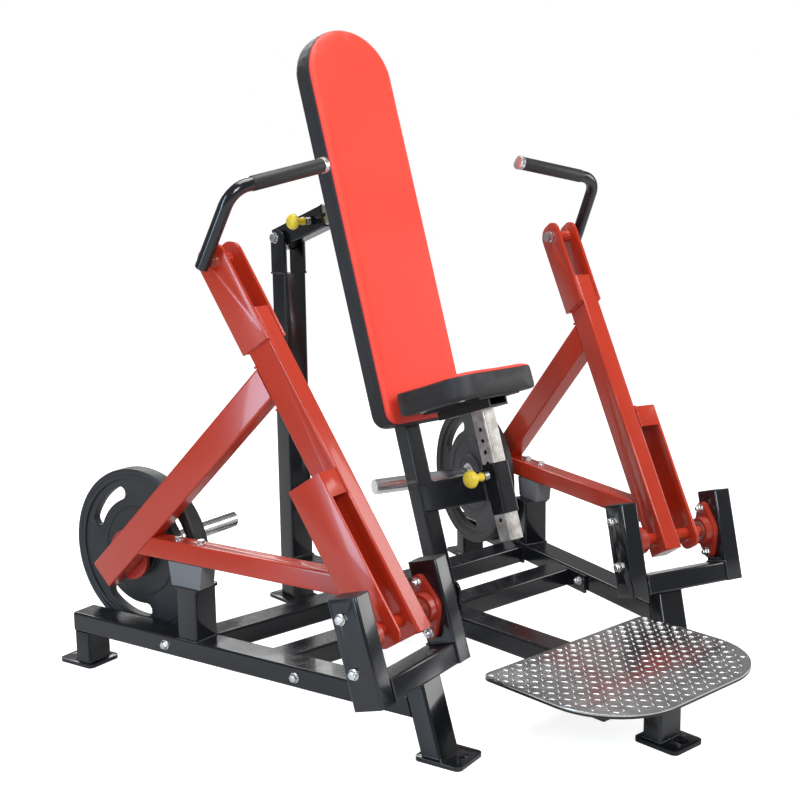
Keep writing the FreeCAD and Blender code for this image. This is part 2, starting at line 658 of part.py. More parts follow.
def handle_frame(side):
    """At the ear pin, outboard of the ears: local Y runs up the crank, X towards the grip."""
    pin = LEVER.multVec(Vector(0, 1, c.ear_pin))
    crank = Rotation(X, c.handle_lean).multVec(Z)
    reach = Vector(-side * 0.973, -0.156, 0.170)
    sideways = reach - crank * reach.dot(crank)
    turn = Rotation(sideways, crank, sideways.cross(crank), "YXZ")
    return tilt_in(side, Placement(Vector(side * c.handle_out, pin.y, pin.z), turn))


def handle_crank(side, word):
    """A round tube with one bend, from the pin to the end of the grip."""
    body = doc.addObject("PartDesign::Body", f"{word}_crank_tube")
    planes = {one.Role: one for one in body.Origin.OriginFeatures}
    turn = math.radians(c.grip_turn)
    back = c.handle_bend * math.tan(turn / 2)
    corner = Vector(0, c.handle_rise, 0)
    way = Vector(math.sin(turn), math.cos(turn), 0)
    start = Vector(0, -c.handle_radius, 0)
    bend_start = corner - Y * back
    bend_end = corner + way * back
    centre = bend_start + X * float(c.handle_bend)
    middle = centre + (corner - centre).normalize() * float(c.handle_bend)
    path = body.newObject("Sketcher::SketchObject", f"{word}_crank_path")
    path.AttachmentSupport = (planes["XY_Plane"], [""])
    path.MapMode = "FlatFace"
    path.addGeometry(Part.LineSegment(start, bend_start))
    path.addGeometry(Part.Arc(bend_start, middle, bend_end))
    path.addGeometry(Part.LineSegment(bend_end, corner + way * float(c.grip_reach)))
    path.addConstraint(Sketcher.Constraint("Coincident", 0, 2, 1, 2))
    path.addConstraint(Sketcher.Constraint("Coincident", 1, 1, 2, 1))
    ring = body.newObject("Sketcher::SketchObject", f"{word}_crank_ring")
    ring.AttachmentSupport = (planes["XZ_Plane"], [""])
    ring.MapMode = "FlatFace"
    ring.AttachmentOffset = Placement(Vector(0, 0, c.handle_radius), Rotation())
    for radius in (c.handle_radius, c.handle_radius - c.handle_wall):
        circle = ring.addGeometry(Part.Circle(Vector(), Z, float(radius)))
        ring.addConstraint(Sketcher.Constraint("Coincident", circle, 3, -1, 1))
        number = ring.addConstraint(Sketcher.Constraint("Radius", circle, float(radius)))
        ring.setExpression(f"Constraints[{number}]", radius.words)
    pipe = body.newObject("PartDesign::AdditivePipe", f"{word}_crank_pipe")
    pipe.Profile = ring
    pipe.Spine = (path, ["Edge1", "Edge2", "Edge3"])
    node(f"{word}_handle_crank", [body], handle_frame(side))
    return corner, way


def handle_pin_turn(side):
    """The turn, in the handle's frame, that brings local Z to the pin's outboard axis."""
    inside = handle_frame(side).Rotation.inverted()
    outboard = side_frame(side).Rotation.multVec(Vector(side, 0, 0))
    return Rotation(Z, inside.multVec(outboard))


def handle_grip(side, word, corner, way):
    """A rubber sleeve over the grip, and a bright collar on its end."""
    turn = Rotation(Z, way)
    place = Placement(corner, turn)
    length = c.grip_reach - c.grip_start - c.end_long
    sleeve = cylinder(f"{word}_grip_sleeve", (0, 0, c.grip_start), c.grip_radius, length, place)
    core = cylinder(f"{word}_grip_core", (0, 0, 0), c.handle_radius, c.grip_reach, place)
    collar = cylinder(f"{word}_grip_collar", (0, 0, c.grip_reach - c.end_long), c.end_radius,
                      c.end_long + 3, place)
    bore = cylinder(f"{word}_collar_bore", (0, 0, 0), c.handle_radius, c.grip_reach, place)
    node(f"{word}_handle_grip", [cut(f"{word}_grip_rubber", sleeve, [core]),
                                 cut(f"{word}_grip_end", collar, [bore])], handle_frame(side))


def handle_pin(side, word):
    """The crank's pin runs through both ears; a hex head and washer hold its inner end."""
    place = Placement(Vector(), handle_pin_turn(side))
    inner_face = c.lever_inner - c.ear_thick - c.handle_out
    reach = inner_face - 2.5
    pin = cylinder(f"{word}_pin_bar", (0, 0, reach), c.pin_radius, -reach, place)
    washer = cylinder(f"{word}_pin_washer", (0, 0, inner_face - 2.5), 17, c.washer_thick, place)
    head = primitive("Prism", f"{word}_pin_head", at((0, 0, inner_face - 14.5), place),
                     Polygon=6, Circumradius=15, Height=12)
    spacer_low = LEVER_OUTER + c.ear_thick + 0.5 - c.handle_out
    spacer = cylinder(f"{word}_pin_spacer", (0, 0, spacer_low), c.bush_radius - 2,
                      -c.handle_radius - spacer_low + 3, place)
    solid = fuse(f"{word}_pin_solid", [pin, washer, head, spacer])
    path_tool = cylinder(f"{word}_pin_saddle", (0, -60, 0), c.handle_radius, 160,
                         turn=Rotation(X, -90))
    saddle = cut(f"{word}_pin_saddled", solid, [path_tool])
    node(f"{word}_handle_pin", [saddle], handle_frame(side))


# ---- centre frame ------------------------------------------------------------------------------

def spine():
    bar = tube("spine_bar", (-HALF, c.spine_front, RAIL_LOW), c.tube_wide,
               c.mast_front - c.spine_front, c.tube_thin, Y, closed=(True, False))
    lugs = []
    for side in (-1, 1):
        gap = THIN + 1
        outline = [(-30, c.rail_top), (30, c.rail_top), (30, 200), (-30, 200)]
        place = at((low(side, gap, gap + c.flange_thick), c.hinge_rear, 0), turn=FACING_X)
        lugs.append(plate(f"spine_lug_{side + 1}", outline, c.flange_thick,
                          holes=[(0, c.hinge_height, c.hinge_radius)],
                          soften=[(24, lambda spot: spot.y > 190)], frame=place))
    node("spine_tube", [fuse("spine_weld", [bar] + lugs)])


def platform_frame():
    """The front foot and the stay under the foot platform."""
    leg = tube("platform_post", (-HALF, c.spine_front - c.tube_thin, c.foot_thick), c.tube_wide,
               c.tube_thin, c.rail_top - c.foot_thick, Z, closed=(False, True))
    sole = foot("platform_sole", -422, 24)
    stays = [tube(f"platform_stay_{side + 1}", (low(side, HALF, c.stay_half), c.stay_front,
                                                RAIL_LOW), c.stay_half - HALF, c.tube_thin,
                  c.tube_thin, X, closed=(side < 0, side > 0)) for side in (-1, 1)]
    node("platform_frame", [fuse("platform_front_weld", [leg, sole]), *stays])


def foot_platform():
    half = c.platform_half
    outline = rectangle(-half, c.platform_front, half, c.platform_rear)
    tread = plate("platform_tread", outline, c.platform_thick,
                  soften=[(c.platform_round, lambda place: place.y < -300),
                          (c.platform_corner, lambda place: place.y > -100)],
                  frame=at((0, 0, c.rail_top)))
    node("foot_platform", [tread])


def mast():
    deep = c.post_deep
    post = tube("mast_post", (-HALF, c.mast_front, c.foot_thick), c.tube_wide, deep,
                c.mast_tall - c.foot_thick, Z, closed=(False, True))
    sole = foot("mast_sole", c.mast_front - 5, 95)
    cheeks = []
    for side in (-1, 1):
        outline = rectangle(0, -30, deep, c.clevis_rise)
        place = at((low(side, HALF - c.clevis_thick, HALF), c.mast_front, c.mast_tall),
                   turn=FACING_X)
        hole = (BRACE_HINGE.y - c.mast_front, BRACE_HINGE.z - c.mast_tall, c.hinge_radius)
        cheeks.append(plate(f"mast_cheek_{side + 1}", outline, c.clevis_thick, holes=[hole],
                            soften=[(26, lambda spot: spot.y > 100)], frame=place))
    below = box("mast_below", (-60, c.mast_front - 5, c.mast_tall - 40), 120, deep + 10, 40)
    cheeks = [cut(f"mast_cheek_cut_{i}", cheek, [below]) for i, cheek in enumerate(cheeks)]
    node("mast", [fuse("mast_weld", [post] + cheeks)])
    node("mast_foot", [sole])


def hinge_bolt(name, y, z, half):
    return bolt(name, (-half, y, z), 2 * half, radius=c.hinge_radius, head=c.head_radius + 4)


# ---- reclining carriage ------------------------------------------------------------------------

def recline_post():
    """The back post, hinged at its foot, with two plates for the pad."""
    post = tube("recline_bar", (-THIN, -THIN, -c.post_foot), c.tube_thin, c.tube_thin,
                c.post_top + c.post_foot, Z, closed=(True, True))
    mounts = [box(f"recline_mount_{i}", (-c.mount_half, -THIN - c.mount_thick, z),
                  2 * c.mount_half, c.mount_thick, 90) for i, z in enumerate((540, 1090))]
    hole = cylinder("recline_bore", (-60, 0, 0), c.hinge_radius + c.running_gap, 120,
                    turn=ACROSS)
    weld = fuse("recline_weld", [post] + mounts)
    node("recline_post", [cut("recline_drilled", weld, [hole])], RECLINE)


def brace_lugs():
    """Two plates on the sides of the back post, and the bolt through them."""
    pieces = []
    for side in (-1, 1):
        outline = rectangle(-10, c.brace_lug_up - c.lug_low, c.brace_lug + 16,
                            c.brace_lug_up + c.lug_low)
        place = at((low(side, THIN, THIN + c.lug_thick), 0, 0), turn=FACING_X)
        pieces.append(plate(f"brace_lug_{side + 1}", outline, c.lug_thick,
                            holes=[(c.brace_lug, c.brace_lug_up, c.hinge_radius)],
                            soften=[(18, lambda spot: spot.x > 40)], frame=place))
    half = THIN + c.lug_thick
    pieces.append(bolt("brace_bolt", (-half, c.brace_lug, c.brace_lug_up), 2 * half,
                       radius=c.hinge_radius, head=c.head_radius + 3))
    node("brace_lugs", pieces, RECLINE)


def pull_pin(name, frame, face, tip, up):
    """A pull pin on the -X side: a plunger with a knob on its outer end."""
    outward = Rotation(Y, -90)
    place = at((-tip, up[0], up[1]), frame, outward)
    neck = face - tip + c.barrel_long + 2
    plunger = cylinder(name + "_plunger", (0, 0, 0), c.plunger_radius, neck + c.neck_long, place)
    stem = cone(name + "_stem", (0, 0, neck), c.neck_radius, c.neck_radius - 3, c.neck_long,
                place)
    knob = cone(name + "_knob", (0, 0, neck + c.neck_long - 2), c.knob_radius - 4,
                c.knob_radius, c.knob_long - 8, place)
    crown = cone(name + "_crown", (0, 0, neck + c.neck_long + c.knob_long - 10), c.knob_radius,
                 c.knob_radius - 9, 8, place)
    node(name, [fuse(name + "_whole", [plunger, stem, knob, crown])])


def barrel(name, up, face):
    """The threaded barrel that a pull pin runs in, and the hole through it and the tube's wall."""
    outward = Rotation(Y, -90)
    shell = cylinder(name + "_shell", (-face, up[0], up[1]), c.barrel_radius, c.barrel_long,
                     turn=outward)
    nut = primitive("Prism", name + "_nut", at((-face, up[0], up[1]), turn=outward), Polygon=6,
                    Circumradius=14, Height=7)
    bore = cylinder(name + "_bore", (-5, up[0], up[1]), c.plunger_radius + c.running_gap, 120,
                    turn=outward)
    return [shell, nut], bore


def seat_arm():
    """The seat's arm and the sleeve that its post slides in."""
    centre = -c.sleeve_centre
    arm = tube("seat_arm_bar", (-THIN, centre + THIN, c.seat_arm_low), c.tube_thin,
               c.sleeve_centre - c.tube_thin, c.tube_wide, Y)
    sleeve = tube("seat_sleeve", (-THIN, centre - THIN, c.sleeve_low), c.tube_thin, c.tube_thin,
                  c.sleeve_long, Z, wall=c.slide_wall)
    fittings, bore = barrel("seat_barrel", (centre, c.seat_pin_up), THIN)
    weld = fuse("seat_arm_weld", [arm, sleeve] + fittings)
    core = box("seat_sleeve_core", (-THIN + c.slide_wall, centre - THIN + c.slide_wall, 0),
               c.tube_thin - 2 * c.slide_wall, c.tube_thin - 2 * c.slide_wall, 500)
    node("seat_arm", [cut("seat_arm_cored", weld, [core, bore])], RECLINE)


def back_pad():
    """A long pad with a half-round head, in front of the post."""
    half = c.pad_wide / 2
    outline = rectangle(-half, 0, half, c.back_tall)
    place = at((0, -THIN - c.mount_thick, c.back_low), RECLINE, FACING_FRONT)
    pad = plate("back_cushion", outline, c.pad_thick,
                soften=[(c.back_round, lambda spot: spot.y > 500),
                        (c.back_corner, lambda spot: spot.y < 100)])
    node("back_pad", [pad], place)


def slide_holes(name, side, heights, y):
    outward = Rotation(Y, -90)
    return [cylinder(f"{name}_{i}", (-side / 2 + 10, y, z), c.hole_radius, 40, turn=outward)
            for i, z in enumerate(heights)]


def seat_post():
    """A bare post with a row of holes for the pull pin, and the bracket under the seat."""
    centre = -c.sleeve_centre
    side = c.slide_side
    post = tube("seat_post_bar", (-side / 2, centre - side / 2, c.seat_post_low), side, side,
                c.seat_post_long, Z)
    heights = [c.seat_pin_up + k * c.hole_pitch for k in range(-4, 5)]
    drilled = cut("seat_post_drilled", post,
                  slide_holes("seat_post_hole", side, heights, centre))
    top = c.seat_post_low + c.seat_post_long
    channel = box("seat_channel", (-32, -355, top), 64, 190, c.seat_mount - 6)
    hollow = box("seat_channel_hollow", (-27, -400, top + 5), 54, 280, c.seat_mount)
    flat = box("seat_flat", (-70, -365, top + c.seat_mount - 6), 140, 210, 6)
    bracket = fuse("seat_bracket", [cut("seat_channel_open", channel, [hollow]), flat])
    node("seat_post", [drilled, bracket], RECLINE)


def seat_pad():
    half = c.pad_wide / 2
    outline = rectangle(-half, -c.seat_rear - c.seat_long, half, -c.seat_rear)
    pad = plate("seat_cushion", outline, c.seat_thick,
                soften=[(c.seat_nose, lambda spot: spot.y < -300),
                        (c.seat_heel, lambda spot: spot.y > -200)])
    node("seat_pad", [pad], at((0, 0, c.seat_low), RECLINE))


# ---- brace -------------------------------------------------------------------------------------

def brace():
    """Two tubes that slide in each other between the mast's hinge and the carriage's lugs."""
    tall = c.post_deep
    outer = tube("strut_outer", (-THIN, -tall / 2, -c.brace_tail), c.tube_thin, tall,
                 c.brace_front + c.brace_tail, Z, wall=c.slide_wall)
    fittings, bore = barrel("strut_barrel", (0, c.brace_pin), THIN)
    hinge = cylinder("strut_hinge_bore", (-60, 0, 0), c.hinge_radius + c.running_gap, 120,
                     turn=ACROSS)
    weld = fuse("strut_weld", [outer] + fittings)
    core = box("strut_core", (-THIN + c.slide_wall, -tall / 2 + c.slide_wall, -60),
               c.tube_thin - 2 * c.slide_wall, tall - 2 * c.slide_wall, 400)
    node("strut_tube", [cut("strut_cored", weld, [core, bore, hinge])], BRACE)

    side = c.slide_side
    inner = tube("slide_bar", (-side / 2, -c.slide_tall / 2, c.slide_rear), side, c.slide_tall,
                 c.slide_front - c.slide_rear, Z)
    eye = cylinder("slide_eye_bore", (-60, 0, c.brace_long), c.slide_eye, 120, turn=ACROSS)
    heights = [c.brace_pin + k * c.hole_pitch for k in range(-2, 3)]
    node("strut_slide", [cut("slide_drilled", inner,
                             [eye] + slide_holes("slide_hole", side, heights, 0))], BRACE)


# ---- the machine -------------------------------------------------------------------------------

for side, word in SIDES:
    side_rail(side, word)
    rear_leg(side, word)
    front_leg(side, word)
    pivot_bracket(side, word)
    bumper_post(side, word)
    main_tube(side, word)
    back_arm(side, word)
    lever_strut(side, word)
    bumper(side, word)
    bumper_bolts(side, word)
    gusset(side, word)
    ears(side, word)
    pivot_shaft(side, word)
    bearing_rings(side, word)
    weight_horn(side, word)
    weight_plate(side, word)
    handle_grip(side, word, *handle_crank(side, word))
    handle_pin(side, word)

for end, y in (("front", c.front_cross), ("rear", c.rear_cross)):
    node(f"{end}_cross_tubes", [cross_tube(side, word, end, y) for side, word in SIDES])

node("frame_bolts", [one for side, word in SIDES for one in rail_bolts(side, word)])
node("tube_caps", [one for side, word in SIDES for one in bracket_caps(side, word)])
node("bearing_housings", [bearing_housing(f"{word}_{name}_housing", side, face, way)
                          for side, word in SIDES for name, face, way in BEARINGS])
node("bearing_bolts", [one for side, word in SIDES for name, face, way in BEARINGS
                       for one in housing_bolts(f"{word}_{name}_bolt", side, face, way)])
node("hinge_bolts", [hinge_bolt("recline_bolt", c.hinge_rear, c.hinge_height,
                                THIN + 1 + c.flange_thick),
                     hinge_bolt("mast_bolt", BRACE_HINGE.y, BRACE_HINGE.z, HALF)])
spine()
platform_frame()
foot_platform()
mast()
recline_post()
brace_lugs()
seat_arm()
back_pad()
seat_post()
seat_pad()
pull_pin("seat_pin", RECLINE, THIN, c.slide_side / 2 + 0.4, (-c.sleeve_centre, c.seat_pin_up))
pull_pin("strut_pin", BRACE, THIN, c.slide_side / 2 + 0.4, (0, c.brace_pin))
brace()
doc.recompute()

broken = [one.Name for one in doc.Objects if {"Invalid", "Error"} & set(one.State)]
broken += [part.Label for part in nodes if part.Shape.isNull() or not part.Shape.isValid()]
if broken:
    raise RuntimeError("not built: " + ", ".join(broken))

os.makedirs("parts", exist_ok=True)
for part in nodes:
    part.Shape.exportStep(f"parts/{part.Label}.step")
print(len(nodes), "sub-parts")
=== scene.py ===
# %% [markdown]
# # A plate-loaded seated press
# Two red levers swing on bearings at the front and carry weight plates on horns behind. Between
# them stand a padded seat and a tall back pad on black square tube. The steel comes from the CAD
# frame, which is loaded below and never reshaped; this script adds what the eye reads first:
# vinyl, powder coat, bright bolts, weld beads, tread plate and rubber.

# %% Load the frame
import math

import bpy
from mathutils import Matrix, Vector


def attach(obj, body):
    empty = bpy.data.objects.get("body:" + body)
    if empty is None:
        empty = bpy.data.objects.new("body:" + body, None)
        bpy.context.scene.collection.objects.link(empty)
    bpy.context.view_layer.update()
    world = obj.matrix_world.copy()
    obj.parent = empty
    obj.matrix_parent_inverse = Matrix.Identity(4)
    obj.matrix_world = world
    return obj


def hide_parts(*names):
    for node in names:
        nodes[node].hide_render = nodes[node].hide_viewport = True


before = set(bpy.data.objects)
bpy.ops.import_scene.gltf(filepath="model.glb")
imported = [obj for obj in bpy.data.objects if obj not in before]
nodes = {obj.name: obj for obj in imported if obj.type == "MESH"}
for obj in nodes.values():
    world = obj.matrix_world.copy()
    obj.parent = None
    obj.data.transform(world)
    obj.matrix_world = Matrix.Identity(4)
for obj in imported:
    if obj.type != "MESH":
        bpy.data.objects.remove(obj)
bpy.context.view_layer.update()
print("loaded", len(nodes), "nodes")

# %% [markdown]
# The object's own directions. Each side of the machine is turned in towards the sitter, each
# lever leans back, and so does the seat post. A matrix for each of these frames lets every later
# piece be placed with the same few numbers that a workshop drawing would give. Side frames run
# to the right, rearward and up; `side` is -1 on the left and 1 on the right, so a number times
# `side` runs outboard. Lengths are in millimetres until they meet a matrix.

# %% Frames of the machine
MM = 0.001
SIDE_ANGLE = math.radians(14.9)
SIDE_OUT = 438
LEFT, RIGHT = -1, 1
SIDES = ((LEFT, "left"), (RIGHT, "right"))
HALF, THIN = 38.1, 50.8
LEVER_INNER = 12.7
RAIL_TOP, FOOT_TOP = 140, 10
PIVOT_LINE = (18, 306)
RECLINE_LINE = (368, 175)
CHEEK_FACES = (-82.55, 171.45)


def lean(y, z, degrees):
    """A frame in the YZ plane whose Z leans to the rear."""
    turn = Matrix.Rotation(math.radians(-degrees), 4, "X")
    return Matrix.Translation((0, y * MM, z * MM)) @ turn


def side_frame(side):
    turn = Matrix.Rotation(-side * SIDE_ANGLE, 4, "Z")
    return Matrix.Translation((side * SIDE_OUT * MM, 0, 0)) @ turn


BRACKET = lean(-68.5, 186.6, 15.6)
LEVER = lean(*PIVOT_LINE, 32.4)
ARM = lean(956.5, 288, -45.9)
RECLINE = lean(*RECLINE_LINE, 18)
BRACE_HINGE = RECLINE @ Vector((0, 0.341, 1.0666))
BRACE = Matrix.Translation(BRACE_HINGE) @ Matrix.Rotation(math.radians(72), 4, "X")
TO_X = Matrix.Rotation(math.radians(90), 4, "Y")


def spot(base, x, y, z):
    """`base` moved to a place in it given in millimetres."""
    return base @ Matrix.Translation((x * MM, y * MM, z * MM))


# %% [markdown]
# The camera stands in front and to the left at about chest height, looking a little down. A
# 59 mm lens gives the slight convergence of a catalogue shot.

# %% Camera
CAMERA_PLACE = Vector((-2.270, -2.048, 1.281))
CAMERA_AZIMUTH = math.radians(41.34)
CAMERA_DOWN = math.radians(10.11)
CAMERA_ROLL = math.radians(-0.80)

camera_data = bpy.data.cameras.new("camera")
camera_data.sensor_width = 36.0
camera_data.lens = 59.03
camera = bpy.data.objects.new("camera", camera_data)
bpy.context.scene.collection.objects.link(camera)
turned = Matrix.Rotation(-CAMERA_AZIMUTH, 4, "Z")
tipped = Matrix.Rotation(math.radians(90) - CAMERA_DOWN, 4, "X")
rolled = Matrix.Rotation(CAMERA_ROLL, 4, "Z")
camera.matrix_world = Matrix.Translation(CAMERA_PLACE) @ turned @ tipped @ rolled
bpy.context.scene.camera = camera
print("camera at", tuple(round(value, 3) for value in camera.location))

# %% [markdown]
# The floor and the studio. The floor is one large pale plane. Gloss paint shows what surrounds
# it, so the room is a soft pale world with big area lights: a key from the front left, a wide
# overhead bank, a cool strip on the left that draws the bluish lines down the black tubes, and
# a fill on the right. The backdrop is white to the eye but gives off less light than it shows,
# so that black paint stays black. Colours are shown as they are, without a film curve.

# %% Floor and lights
SKY_LIGHT, SKY_SEEN = 0.26, 1.0


def deselect():
    if bpy.context.mode != "OBJECT":
        bpy.ops.object.mode_set(mode="OBJECT")
    bpy.ops.object.select_all(action="DESELECT")


deselect()
bpy.ops.mesh.primitive_plane_add(size=30)
floor = bpy.context.object
floor.name = "studio_floor"


def area_light(name, place, target, size, watts, colour=(1, 1, 1)):
    data = bpy.data.lights.new(name, "AREA")
    data.shape = "RECTANGLE"
    data.size, data.size_y = size
    data.energy = watts
    data.color = colour
    light = bpy.data.objects.new(name, data)
    bpy.context.scene.collection.objects.link(light)
    aim = (Vector(target) - Vector(place)).to_track_quat("-Z", "Y")
    light.matrix_world = Matrix.Translation(place) @ aim.to_matrix().to_4x4()


area_light("key", (-1.6, -3.4, 3.0), (0, 0.2, 0.7), (1.6, 1.6), 110)
area_light("bank", (0.2, 0.4, 4.2), (0, 0.4, 0), (2.6, 2.2), 115)
area_light("strip", (-3.6, 0.6, 1.5), (0, 0.3, 0.6), (0.7, 2.6), 60, (0.62, 0.80, 1.0))
area_light("fill", (3.4, -1.6, 1.8), (0, 0.3, 0.7), (1.6, 2.2), 45)
area_light("back", (1.0, 3.8, 2.4), (0, 0.6, 0.7), (2.4, 1.4), 45)

world = bpy.data.worlds.new("studio")
bpy.context.scene.world = world
world.use_nodes = True
sky = world.node_tree.nodes["Background"]
sky.inputs["Color"].default_value = (1.0, 1.0, 1.0, 1)
rays = world.node_tree.nodes.new("ShaderNodeLightPath")
seen = world.node_tree.nodes.new("ShaderNodeMapRange")
seen.inputs["To Min"].default_value = SKY_LIGHT
seen.inputs["To Max"].default_value = SKY_SEEN
world.node_tree.links.new(rays.outputs["Is Camera Ray"], seen.inputs["Value"])
world.node_tree.links.new(seen.outputs["Result"], sky.inputs["Strength"])
bpy.context.scene.view_settings.view_transform = "Standard"

# %% [markdown]
# Materials are built from nodes. Writing `a * 0.5 + b` reads better than wiring three Math
# nodes by hand, so one small class wraps a socket and turns Python's operators into Math nodes.
# Everything else comes from `Finish.node`, which takes a node's type, its settings and the
# values or links of its sockets.

# %% A small language for shaders
class Sock:
    """A number on the shader graph; arithmetic on it adds Math nodes."""

    def __init__(self, finish, socket):
        self.finish = finish
        self.socket = socket

    def math(self, operation, *others):
        inputs = dict(enumerate((self,) + others))
        return self.finish.node("Math", {"operation": operation}, inputs)[0]

    def __add__(self, other):
        return self.math("ADD", other)

    def __sub__(self, other):
        return self.math("SUBTRACT", other)

    def __rsub__(self, other):
        return (self * -1) + other

    def __mul__(self, other):
        return self.math("MULTIPLY", other)

    def __abs__(self):
        return self.math("ABSOLUTE")

    def ramp(self, low, high):
        """0 below `low`, 1 above `high`, smooth between."""
        settings = {"interpolation_type": "SMOOTHSTEP"}
        return self.finish.node("MapRange", settings, {"Value": self, "From Min": low,
                                                       "From Max": high})["Result"]

    __radd__ = __add__
    __rmul__ = __mul__


class Outputs:
    """A node's outputs, by name or number, each as a Sock."""

    def __init__(self, finish, node):
        self.finish = finish
        self.node = node

    def __getitem__(self, key):
        return Sock(self.finish, self.node.outputs[key])


class Finish:
    """A material under construction."""

    def __init__(self, name):
        self.material = bpy.data.materials.new(name)
        self.material.use_nodes = True
        self.tree = self.material.node_tree
        self.tree.nodes.clear()

    def node(self, kind, settings=None, inputs=None):
        made = self.tree.nodes.new("ShaderNode" + kind)
        for setting, value in (settings or {}).items():
            setattr(made, setting, value)
        for key, value in (inputs or {}).items():
            if isinstance(value, Sock):
                self.tree.links.new(value.socket, made.inputs[key])
            else:
                made.inputs[key].default_value = value
        return Outputs(self, made)

    def place(self, scale=(1, 1, 1)):
        """Object coordinates, scaled."""
        where = self.node("TexCoord")["Object"]
        return self.node("Mapping", None, {"Vector": where, "Scale": scale})["Vector"]

    def noise(self, scale, detail=3.0, where=None, roughness=0.55):
        inputs = {"Vector": where or self.place(), "Scale": scale, "Detail": detail,
                  "Roughness": roughness}
        return self.node("TexNoise", None, inputs)["Fac"]

    def along(self, way):
        """How far a point lies along a fixed direction of the machine, in metres."""
        where = self.node("TexCoord")["Object"]
        return self.node("VectorMath", {"operation": "DOT_PRODUCT"},
                         {0: where, 1: tuple(way)})["Value"]

    def mix(self, factor, first, second):
        return self.node("Mix", {"data_type": "RGBA"}, {0: factor, 6: first, 7: second})[2]

    def bump(self, height, strength, distance):
        return self.node("Bump", None, {"Height": height, "Strength": strength,
                                        "Distance": distance})["Normal"]

    def done(self, **inputs):
        shader = self.node("BsdfPrincipled", None,
                           {key.replace("_", " "): value for key, value in inputs.items()})
        self.node("OutputMaterial", None, {"Surface": shader[0]})
        return self.material


# %% [markdown]
# Powder coat. The real paint is sprayed as powder and baked, so it is glossy with a very fine
# orange peel. Two noises make the peel, a slow one varies the gloss, and a thin dust layer
# lightens what faces up. A clear coat gives the sharp reflections over a softer base. The same
# recipe serves for red and for black; only the colours differ.

# %% Powder coat
def powder_coat(name, colour, dark, roughness, dust):
    paint = Finish(name)
    peel = paint.noise(420, 2.0) * 0.6 + paint.noise(150, 2.0) * 0.4
    cloud = paint.noise(3.0, 4.0)
    speck = paint.noise(900, 1.0).ramp(0.70, 0.80)
    facing_up = paint.node("SeparateXYZ", None, {0: paint.node("NewGeometry")["Normal"]})["Z"]
    base = paint.mix(cloud, dark, colour)
    settled = facing_up.ramp(0.55, 1.0) * paint.noise(28, 5.0).ramp(0.35, 0.75)
    base = paint.mix(settled * dust, base, (0.42, 0.40, 0.38, 1))
    gloss = cloud * 0.10 + roughness + settled * 0.12 + speck * 0.05
    return paint.done(Base_Color=base, Roughness=gloss, Coat_Weight=0.30,
                      Coat_Roughness=0.05, IOR=1.5, Normal=paint.bump(peel, 0.18, 0.0006))


RED_COAT = powder_coat("red_powder_coat", (0.52, 0.038, 0.013, 1), (0.41, 0.027, 0.010, 1),
                       roughness=0.20, dust=0.02)
BLACK_COAT = powder_coat("black_powder_coat", (0.007, 0.008, 0.011, 1),
                         (0.004, 0.005, 0.007, 1), roughness=0.13, dust=0.015)
CAST_COAT = powder_coat("cast_red_enamel", (0.41, 0.030, 0.013, 1), (0.28, 0.020, 0.010, 1),
                        roughness=0.30, dust=0.04)

# %% [markdown]
# Bare metals. Zinc plate has fine crystals and small scuffs; galvanised tube is mottled in
# larger grey and brown patches, the brown low in the pattern; chrome is nearly a mirror with
# faint rub marks where plates slide over it; machined steel keeps turning lines. Some fittings
# are part painted: the seat post under its pad, the root of each horn and the edge of the tread
# plate. Their coat starts at a plane across the part.

# %% Bare metals
def metal(name, colour, mottle_colour, roughness, grain, patches, contrast, scratches=0.0,
          painted=None):
    """`painted` is a direction, a level along it and the colour of the coat beyond that level."""
    bare = Finish(name)
    mottle = bare.noise(patches, 6.0, roughness=0.7).ramp(0.5 - contrast, 0.5 + contrast)
    fine = bare.noise(grain, 3.0)
    drawn = bare.noise(60, 4.0, bare.place((1, 1, 14)))
    base = bare.mix(mottle, mottle_colour, colour)
    rough = roughness + mottle * 0.08 + fine * 0.08 + drawn * scratches
    shine = 1.0
    if painted:
        way, level, colour = painted
        coat = (bare.along(way) - level).ramp(-0.0003, 0.0003)
        base = bare.mix(coat, base, colour)
        shine = 1 - coat
    return bare.done(Base_Color=base, Metallic=shine, Roughness=rough,
                     Normal=bare.bump(fine + drawn * scratches * 4, 0.10, 0.0004))


PAD_FRONT = (RECLINE.to_3x3() @ Vector((0, -1, 0))).normalized()
SEAT_UP = (RECLINE.to_3x3() @ Vector((0, 0, 1))).normalized()
BRACKET_LOW = (RECLINE @ Vector((0, 0, 0.437))).dot(SEAT_UP)
ZINC = metal("bright_zinc", (0.80, 0.81, 0.82, 1), (0.58, 0.58, 0.57, 1), 0.20, 500, 120, 0.25)
# The galvanised finishes mix their grey with brown patches laid out by a noise.
DULL, BROWN_PATCHES = (0.72, 0.72, 0.71, 1), (0.38, 0.34, 0.30, 1)
GALVANISED = metal("galvanised_tube", DULL, BROWN_PATCHES, 0.24, 260, 34, 0.22, 0.10)
POST = metal("galvanised_post", DULL, BROWN_PATCHES, 0.24, 260, 34, 0.22, 0.10,
             painted=(SEAT_UP, BRACKET_LOW, (0.010, 0.010, 0.012, 1)))
STEEL = metal("machined_steel", (0.66, 0.66, 0.67, 1), (0.48, 0.47, 0.46, 1), 0.26, 400, 60,
              0.30, 0.06)
HORNS = {}
for side, word in SIDES:
    outboard = side_frame(side).to_3x3() @ Vector((side, 0, 0))
    root = (side_frame(side) @ ARM @ Vector((side * -0.0425, -0.0381, 0.070))).dot(outboard)
    HORNS[word] = metal(f"chrome_{word}_horn", (0.86, 0.86, 0.88, 1), (0.74, 0.74, 0.75, 1),
                        0.06, 300, 20, 0.40, 0.05,
                        painted=(outboard, root, (0.42, 0.022, 0.010, 1)))
DARK_EDGE_TOP = 0.1462
